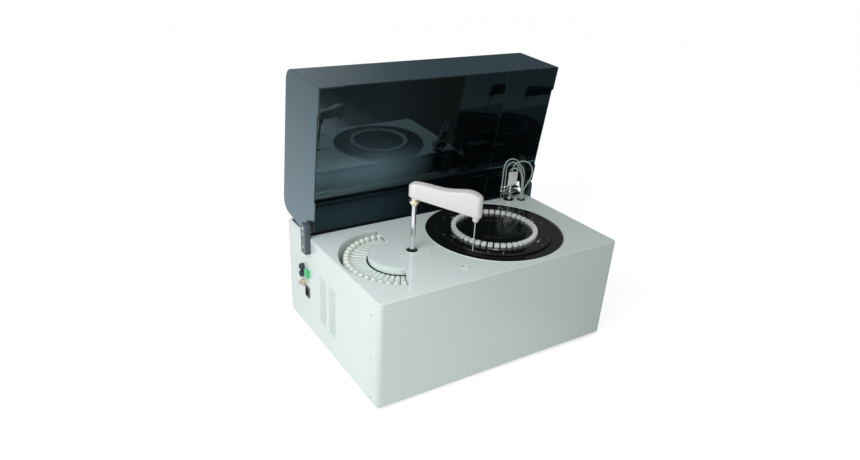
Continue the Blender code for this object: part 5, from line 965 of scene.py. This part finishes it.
def lid_side(wall):
    """Side outline of the shell drawn in by a wall: front bottom, two eased corners, rear bottom."""
    slope = LID_CROWN / (LID_REACH + LID_REAR)
    return eased([(LID_REACH - wall, 0), (LID_REACH - wall - FRONT_SLOPE * LID_DEPTH, LID_DEPTH - LID_CROWN - wall),
                  (-LID_REAR + wall, LID_DEPTH - wall + slope * LID_REAR), (-LID_REAR + wall, REAR_LOW)],
                 [0, FRONT_R - wall, REAR_R - wall, 0], 14, closed=False)


def smoked(name, dark, light, roughness, ior, up, along):
    """A smoked acrylic with painted light: its colour runs from its own dark tone to a lighter painted glow,
    standing for light seen through it and mirrored in it, as the product of two tones, one up the open lid and one
    across it."""
    mat = finish(name, dark, roughness, ior=ior, tone=0.06, uneven=0.03, grain=300.0, relief=0.006)
    tree = mat.node_tree
    place, split = tree.nodes.new("ShaderNodeTexCoord"), tree.nodes.new("ShaderNodeSeparateXYZ")
    tree.links.new(place.outputs["Object"], split.inputs[0])
    blend = tree.nodes.new("ShaderNodeMix")
    blend.data_type = "RGBA"
    tree.links.new(math_node(tree, "MULTIPLY", tone_along(tree, split.outputs["Z"], up),
                             tone_along(tree, split.outputs["X"], along)), blend.inputs["Factor"])
    blend.inputs[6].default_value, blend.inputs[7].default_value = (*dark, 1), (*light, 1)
    tree.links.new(blend.outputs[2], tree.nodes["grain"].inputs["Colour"])
    return mat


# Painted light: the outside is painted lighter low on the lid, and the inside in a band low on the lid towards the
# left, for light shining through the acrylic and reflected in it.
SMOKE_OUT_PAINTED_LIGHT = smoked("smoked_outside_painted_light", (0.016, 0.056, 0.076), (0.115, 0.200, 0.250), 0.28, 1.45,
                   ((0.28, 1.0), (0.66, 0.0)), ((-1.0, 1.0), (1.0, 1.0)))
SMOKE_OUT_PAINTED_LIGHT.node_tree.nodes["Principled BSDF"].inputs["Specular IOR Level"].default_value = 0.3
SMOKE_IN_PAINTED_LIGHT = smoked("smoked_inside_painted_light", (0.003, 0.004, 0.005), (0.28, 0.48, 0.56), 0.035, 1.95,
                  ((0.30, 0.0), (0.325, 0.75), (0.355, 1.0), (0.385, 0.85), (0.42, 0.25), (0.46, 0.08),
                   (0.66, 0.10)),
                  ((-0.34, 1.0), (-0.20, 0.75), (-0.05, 0.65), (0.12, 0.0)))
SMOKE_IN_PAINTED_LIGHT.node_tree.nodes["Principled BSDF"].inputs["Specular Tint"].default_value = (0.66, 0.95, 1.0, 1)
SMOKE_RIM = finish("smoked_rim", (0.012, 0.017, 0.020), 0.25, ior=1.6, tone=0.1)

x_out = np.array([LID_HALF, 0.3405, 0.3400, 0.284, 0.282, 0.0])
x_out = np.concatenate([-x_out, x_out[-2::-1]])
x_in = np.clip(x_out, -LID_HALF + LID_T, LID_HALF - LID_T)
walls = []
for x, wall in ((x_out, 0.0), (x_in, LID_T)):
    outline = lid_side(wall)
    wall_points = np.zeros((len(outline), len(x), 3))
    wall_points[..., 0] = x
    wall_points[..., 1:] = outline[:, None]
    wall_points[0, :, 2] = np.where(np.abs(x) < 0.283, STEP, 0)
    wall_points[-1, :, 2] = np.where(np.abs(x) > 0.34025, NOTCH_LOW, REAR_LOW)
    walls.append(wall_points)
rows, columns = walls[0].shape[:2]
foot_path = [(-0.013, 0.073), (0.0286, 0.007), (0.0286, 0), (0.078, 0), (0.080, 0.005), (0.301, 0.005), (0.303, 0)]
feet = [np.array([(x, *p) for p in foot_path]) for x in (x_out[0], x_in[0], x_out[-1], x_in[-1])]
points = np.concatenate([walls[0].reshape(-1, 3), walls[1].reshape(-1, 3), *feet])
shift, n = rows * columns, len(foot_path)
ribbon = grid_faces(rows, columns)
j = np.arange(columns - 1)
rim_front = np.stack([j, j + 1, shift + j + 1, shift + j], 1)
last = (rows - 1) * columns
rim_rear = np.stack([last + j, last + j + 1, shift + last + j + 1, shift + last + j], 1)
sets = [(ribbon, 0, False), (ribbon + shift, 1, False), (rim_front, 2, False), (rim_rear, 2, False)]
for k, column in ((0, 0), (1, columns - 1)):
    loops = [column + base + columns * np.arange(rows) for base in (0, shift)]
    paths = [2 * shift + (2 * k + m) * n + np.arange(n) for m in (0, 1)]
    sets += [(np.concatenate([loops[m], paths[m]])[None], m, False) for m in (0, 1)]
    outer_run, inner_run = (np.concatenate([[loops[m][-1]], paths[m], [loops[m][0]]]) for m in (0, 1))
    sets.append((np.stack([outer_run[:-1], outer_run[1:], inner_run[1:], inner_run[:-1]], 1), 2, False))
lid = make_piece("smoked_lid", [[lid_open(points), sets]], [SMOKE_OUT_PAINTED_LIGHT, SMOKE_IN_PAINTED_LIGHT, SMOKE_RIM], "lid", "lid_shell",
                 crease=30)
shell = bmesh.new()
shell.from_mesh(lid.data)
bmesh.ops.recalc_face_normals(shell, faces=shell.faces)
sharp_edges = [e for e in shell.edges if e.calc_face_angle(0) > math.radians(35)]
bmesh.ops.bevel(shell, geom=sharp_edges, offset=LID_EDGE, segments=2, affect="EDGES", profile=0.5, material=-1)
shell.to_mesh(lid.data)
shell.free()
lid.data.shade_smooth()
lid.data.set_sharp_from_angle(angle=math.radians(30))

# The panel sags a little between its edges where it was drawn, which bends what it mirrors: its normal
# is (2 x SAG_X x, -1, slope + 2 x SAG_Z x (z - PANEL_MIDDLE)).
PANEL_SLOPE, SLOPE_SHIFT, SAG_Z, SAG_X, PANEL_MIDDLE = -0.1579, 0.0873, 0.2503, 0.1138, 0.48


def values(items, name, width=1, kind=np.float32):
    """One property of all the items of a mesh, as an array."""
    out = np.zeros(len(items) * width, kind)
    items.foreach_get(name, out)
    return out.reshape(-1, width) if width > 1 else out


corner_normal = values(lid.data.corner_normals, "vector", 3)
places = values(lid.data.vertices, "co", 3)[values(lid.data.loops, "vertex_index", kind=np.int32)]
face_normal, area = values(lid.data.polygons, "normal", 3), values(lid.data.polygons, "area")
sides = values(lid.data.polygons, "loop_total", kind=np.int32)
flat = (face_normal @ face_normal[area > 0.01].T).max(1) > 1 - 2e-5
panel = face_normal @ unit(np.array([0, -1, PANEL_SLOPE])) > 1 - 1e-5
flat, panel, face_normal = np.repeat(flat, sides), np.repeat(panel, sides), np.repeat(face_normal, sides, 0)
bent = unit(np.stack([2 * SAG_X * places[:, 0], np.full(len(places), -1.0),
                      PANEL_SLOPE + SLOPE_SHIFT + 2 * SAG_Z * (places[:, 2] - PANEL_MIDDLE)], 1))
normals = np.where(flat[:, None], face_normal, corner_normal)
lid.data.normals_split_custom_set(np.where(panel[:, None], bent, normals).tolist())


# Hinges: on each side a slate-blue cast bracket screwed to the housing, a black friction disc
# between it and the lid, and inside a leaf with the pin, screwed to the lid.
BRACKET_IN, BRACKET_OUT, BRACKET_HALF, BRACKET_LOW = 0.3503, 0.3646, 0.014, 0.232
PIN_R, DISC_R, LEAF_R = 0.004, 0.0175, 0.0145

SLATE = finish("bracket_slate", (0.055, 0.085, 0.105), 0.36, coat=0.1, tone=0.06, uneven=0.1, grain=1200.0,
               relief=0.08)
FRICTION = finish("friction_black", (0.018, 0.019, 0.021), 0.30, tone=0.2, uneven=0.1, grain=900.0)

turn = np.radians(np.linspace(0, 180, 25))
head = np.stack([HINGE_Y + BRACKET_HALF * np.cos(turn), HINGE_Z + BRACKET_HALF * np.sin(turn)], 1)
bracket_outline = np.vstack([[(HINGE_Y - BRACKET_HALF, BRACKET_LOW), (HINGE_Y + BRACKET_HALF, BRACKET_LOW)], head])
bracket_outline = eased(bracket_outline, [0.003, 0.003] + [0] * len(head), 4)
leaf_turn = np.radians(np.linspace(110, 290, 21))
leaf_round = np.stack([LEAF_R * np.cos(leaf_turn), LID_DROP + LEAF_R * np.sin(leaf_turn)], 1)
leaf_flat = np.vstack([[(0.085, 0.0455), (0.085, 0.0675)], leaf_round])
leaf_outline = lid_open(np.column_stack([np.zeros(len(leaf_flat)), leaf_flat]))[:, 1:]
for side, sign in (("left", -1), ("right", 1)):
    solids = [pierced(bracket_outline, [circle(HINGE_Y, HINGE_Z, PIN_R + CLEAR, 24)], BRACKET_IN, BRACKET_OUT, "X",
                      high_edge=0.0012)]
    solids += [numbered(domed(HINGE_Y, z, BRACKET_OUT, 0.0034, 0.0004, "X", 20), 1)
               for z in (HINGE_Z - 0.0145, BRACKET_LOW + 0.020)]
    disc = turned(eased([(PIN_R + CLEAR, 0.3463), (DISC_R, 0.3463), (DISC_R, 0.3500), (PIN_R + CLEAR, 0.3500)],
                        [0.0002, 0.0009, 0.0009, 0.0002], 3), (HINGE_Y, HINGE_Z), 64, "X")
    leaf = plate(eased(leaf_outline, [0.003, 0.003] + [0] * len(leaf_round), 3), 0.3382, 0.3422, "X", 0.0006)
    pin = turned(eased([(0, 0.340), (PIN_R, 0.340), (PIN_R, 0.365), (0, 0.365)], [0, 0, 0.0007, 0], 3,
                       closed=False), (HINGE_Y, HINGE_Z), 28, "X", number=1)
    for solid in solids + [disc, leaf, pin]:
        solid[0] = solid[0] * (sign, 1, 1)
    make_piece(f"bracket_{side}", [outward(s) for s in solids], [SLATE, SCREW], "housing", f"hinge_bracket_{side}")
    make_piece(f"friction_disc_{side}", [outward(disc)], FRICTION, "housing", f"hinge_disc_{side}")
    make_piece(f"leaf_{side}", [outward(leaf), outward(pin)], [FRICTION, CHROME], "lid", f"hinge_leaf_{side}")


# Connector plate on the left: a white plate behind its window with a mains inlet, two round
# ports, a green signal connector and a beige drain fitting, all clipped or screwed in.
PLATE_FACE, SEAT = 0.3492, 0.3495

INLET = finish("inlet_black", (0.020, 0.026, 0.028), 0.36, tone=0.15, uneven=0.1, grain=1000.0)
PORT = finish("port_teal", (0.030, 0.055, 0.058), 0.32, tone=0.15, uneven=0.1, grain=1000.0)
GREEN = finish("connector_green", (0.10, 0.62, 0.25), 0.40, tone=0.08, uneven=0.1, grain=900.0)
BEIGE = finish("drain_beige", (0.66, 0.58, 0.43), 0.42, tone=0.08, uneven=0.1, grain=900.0)
BRASS_PIN = finish("contact_tin", (0.62, 0.60, 0.54), 0.3, metallic=1.0, tone=0.1)


def to_left(solids):
    """Solids drawn outwards along +X, mirrored on to the left side with their faces outward again."""
    return [outward([p * (-1, 1, 1), sets]) for p, sets in solids]


face = rectangle((WINDOW_Y - WINDOW_W / 2 + CLEAR, WINDOW_Y + WINDOW_W / 2 - CLEAR),
                 (WINDOW_Z - WINDOW_H / 2 + CLEAR, WINDOW_Z + WINDOW_H / 2 - CLEAR), 0.0028)
inlet_y, inlet_z, port_y, port_zs = 0.1345, 0.1095, 0.158, (0.154, 0.1745)
inlet_hole = rectangle((inlet_y - 0.0098, inlet_y + 0.0098), (inlet_z - 0.013, inlet_z + 0.013), 0.001)
make_piece("connector_face", to_left([pierced(face, [inlet_hole], 0.3459, PLATE_FACE, "X",
                                              high_edge=0.0004)]
                                     + [domed(y, z, PLATE_FACE, 0.0028, 0.0006, "X", 16) for y in (0.121, 0.197)
                                        for z in (0.084, 0.180)]),
           PAINT, "housing", "connector_panel")
flange = rectangle((inlet_y - 0.01225, inlet_y + 0.01225), (inlet_z - 0.0155, inlet_z + 0.0155), 0.0022)
mouth = eased([(inlet_y - 0.0082, inlet_z - 0.0112), (inlet_y + 0.0082, inlet_z - 0.0112),
               (inlet_y + 0.0082, inlet_z + 0.0065), (inlet_y + 0.0042, inlet_z + 0.0112),
               (inlet_y - 0.0042, inlet_z + 0.0112), (inlet_y - 0.0082, inlet_z + 0.0065)], 0.0008, 3)
inlet = [pierced(flange, [mouth], SEAT, SEAT + 0.0022, "X", high_edge=0.0007, hole_edge=0.0005),
         pierced(inlet_hole, [mouth], 0.3345, SEAT + 0.0004, "X", high_edge=0.0, hole_edge=0.0),
         plate(drawn_in(anticlockwise(inlet_hole), 0.0002), 0.3325, 0.3350, "X", 0.0002)]
inlet += [block((0.3340, 0.3440), (inlet_y + dy - 0.001, inlet_y + dy + 0.001),
                (inlet_z + dz - 0.002, inlet_z + dz + 0.002), 0.0002, "X", number=1)
          for dy, dz in ((-0.0052, -0.0035), (0.0, 0.0035), (0.0052, -0.0035))]
make_piece("mains_inlet", to_left(inlet), [INLET, BRASS_PIN], "housing", "power_inlet")
port_profile = eased([(0, SEAT), (0.009, SEAT), (0.009, SEAT + 0.010), (0.0065, SEAT + 0.010),
                      (0.0065, SEAT + 0.003), (0, SEAT + 0.003)],
                     [0, 0.0002, 0.0012, 0.0008, 0.0003, 0], 4, closed=False)
for label, z in zip(("lower", "upper"), port_zs):
    contacts = [turned([(0, SEAT + 0.0025), (0.0007, SEAT + 0.0025), (0.0007, SEAT + 0.0075), (0, SEAT + 0.0082)],
                       (port_y + 0.0032 * math.cos(a), z + 0.0032 * math.sin(a)), 8, "X", number=1)
                for a in np.radians((30, 102, 174, 246, 318))]
    make_piece(f"round_port_{label}", to_left([turned(port_profile, (port_y, z), 40, "X")] + contacts),
               [PORT, BRASS_PIN], "housing", f"port_{label}")
green_y, green_z = 0.126, 0.168
sockets = [circle(green_y + dy, green_z + dz, 0.0017, 14)
           for dy in (-0.0036, 0.0036) for dz in (-0.0062, 0, 0.0062)]
green = rectangle((green_y - 0.008, green_y + 0.008), (green_z - 0.0105, green_z + 0.0105), 0.0012)
make_piece("signal_plug", to_left([pierced(green, sockets, SEAT + 0.002, SEAT + 0.009, "X", high_edge=0.0006),
                                   plate(green, SEAT, SEAT + 0.0022, "X", 0.0)]),
           GREEN, "housing", "signal_connector")
drain_y, drain_z = 0.1535, 0.1305
barb = eased([(0.0035, SEAT + 0.004), (0.0055, SEAT + 0.004), (0.0055, SEAT + 0.010), (0.0048, SEAT + 0.0105),
              (0.0055, SEAT + 0.0125), (0.0042, SEAT + 0.015), (0.0035, SEAT + 0.015)],
             [0, 0, 0.0003, 0.0003, 0.0004, 0.0003, 0.0002], 3)
make_piece("drain_nozzle", to_left([hex_nut(drain_y, drain_z, SEAT, SEAT + 0.008, 0.0092, "X"),
                                    turned(barb, (drain_y, drain_z), 28, "X")]),
           BEIGE, "housing", "drain_fitting")
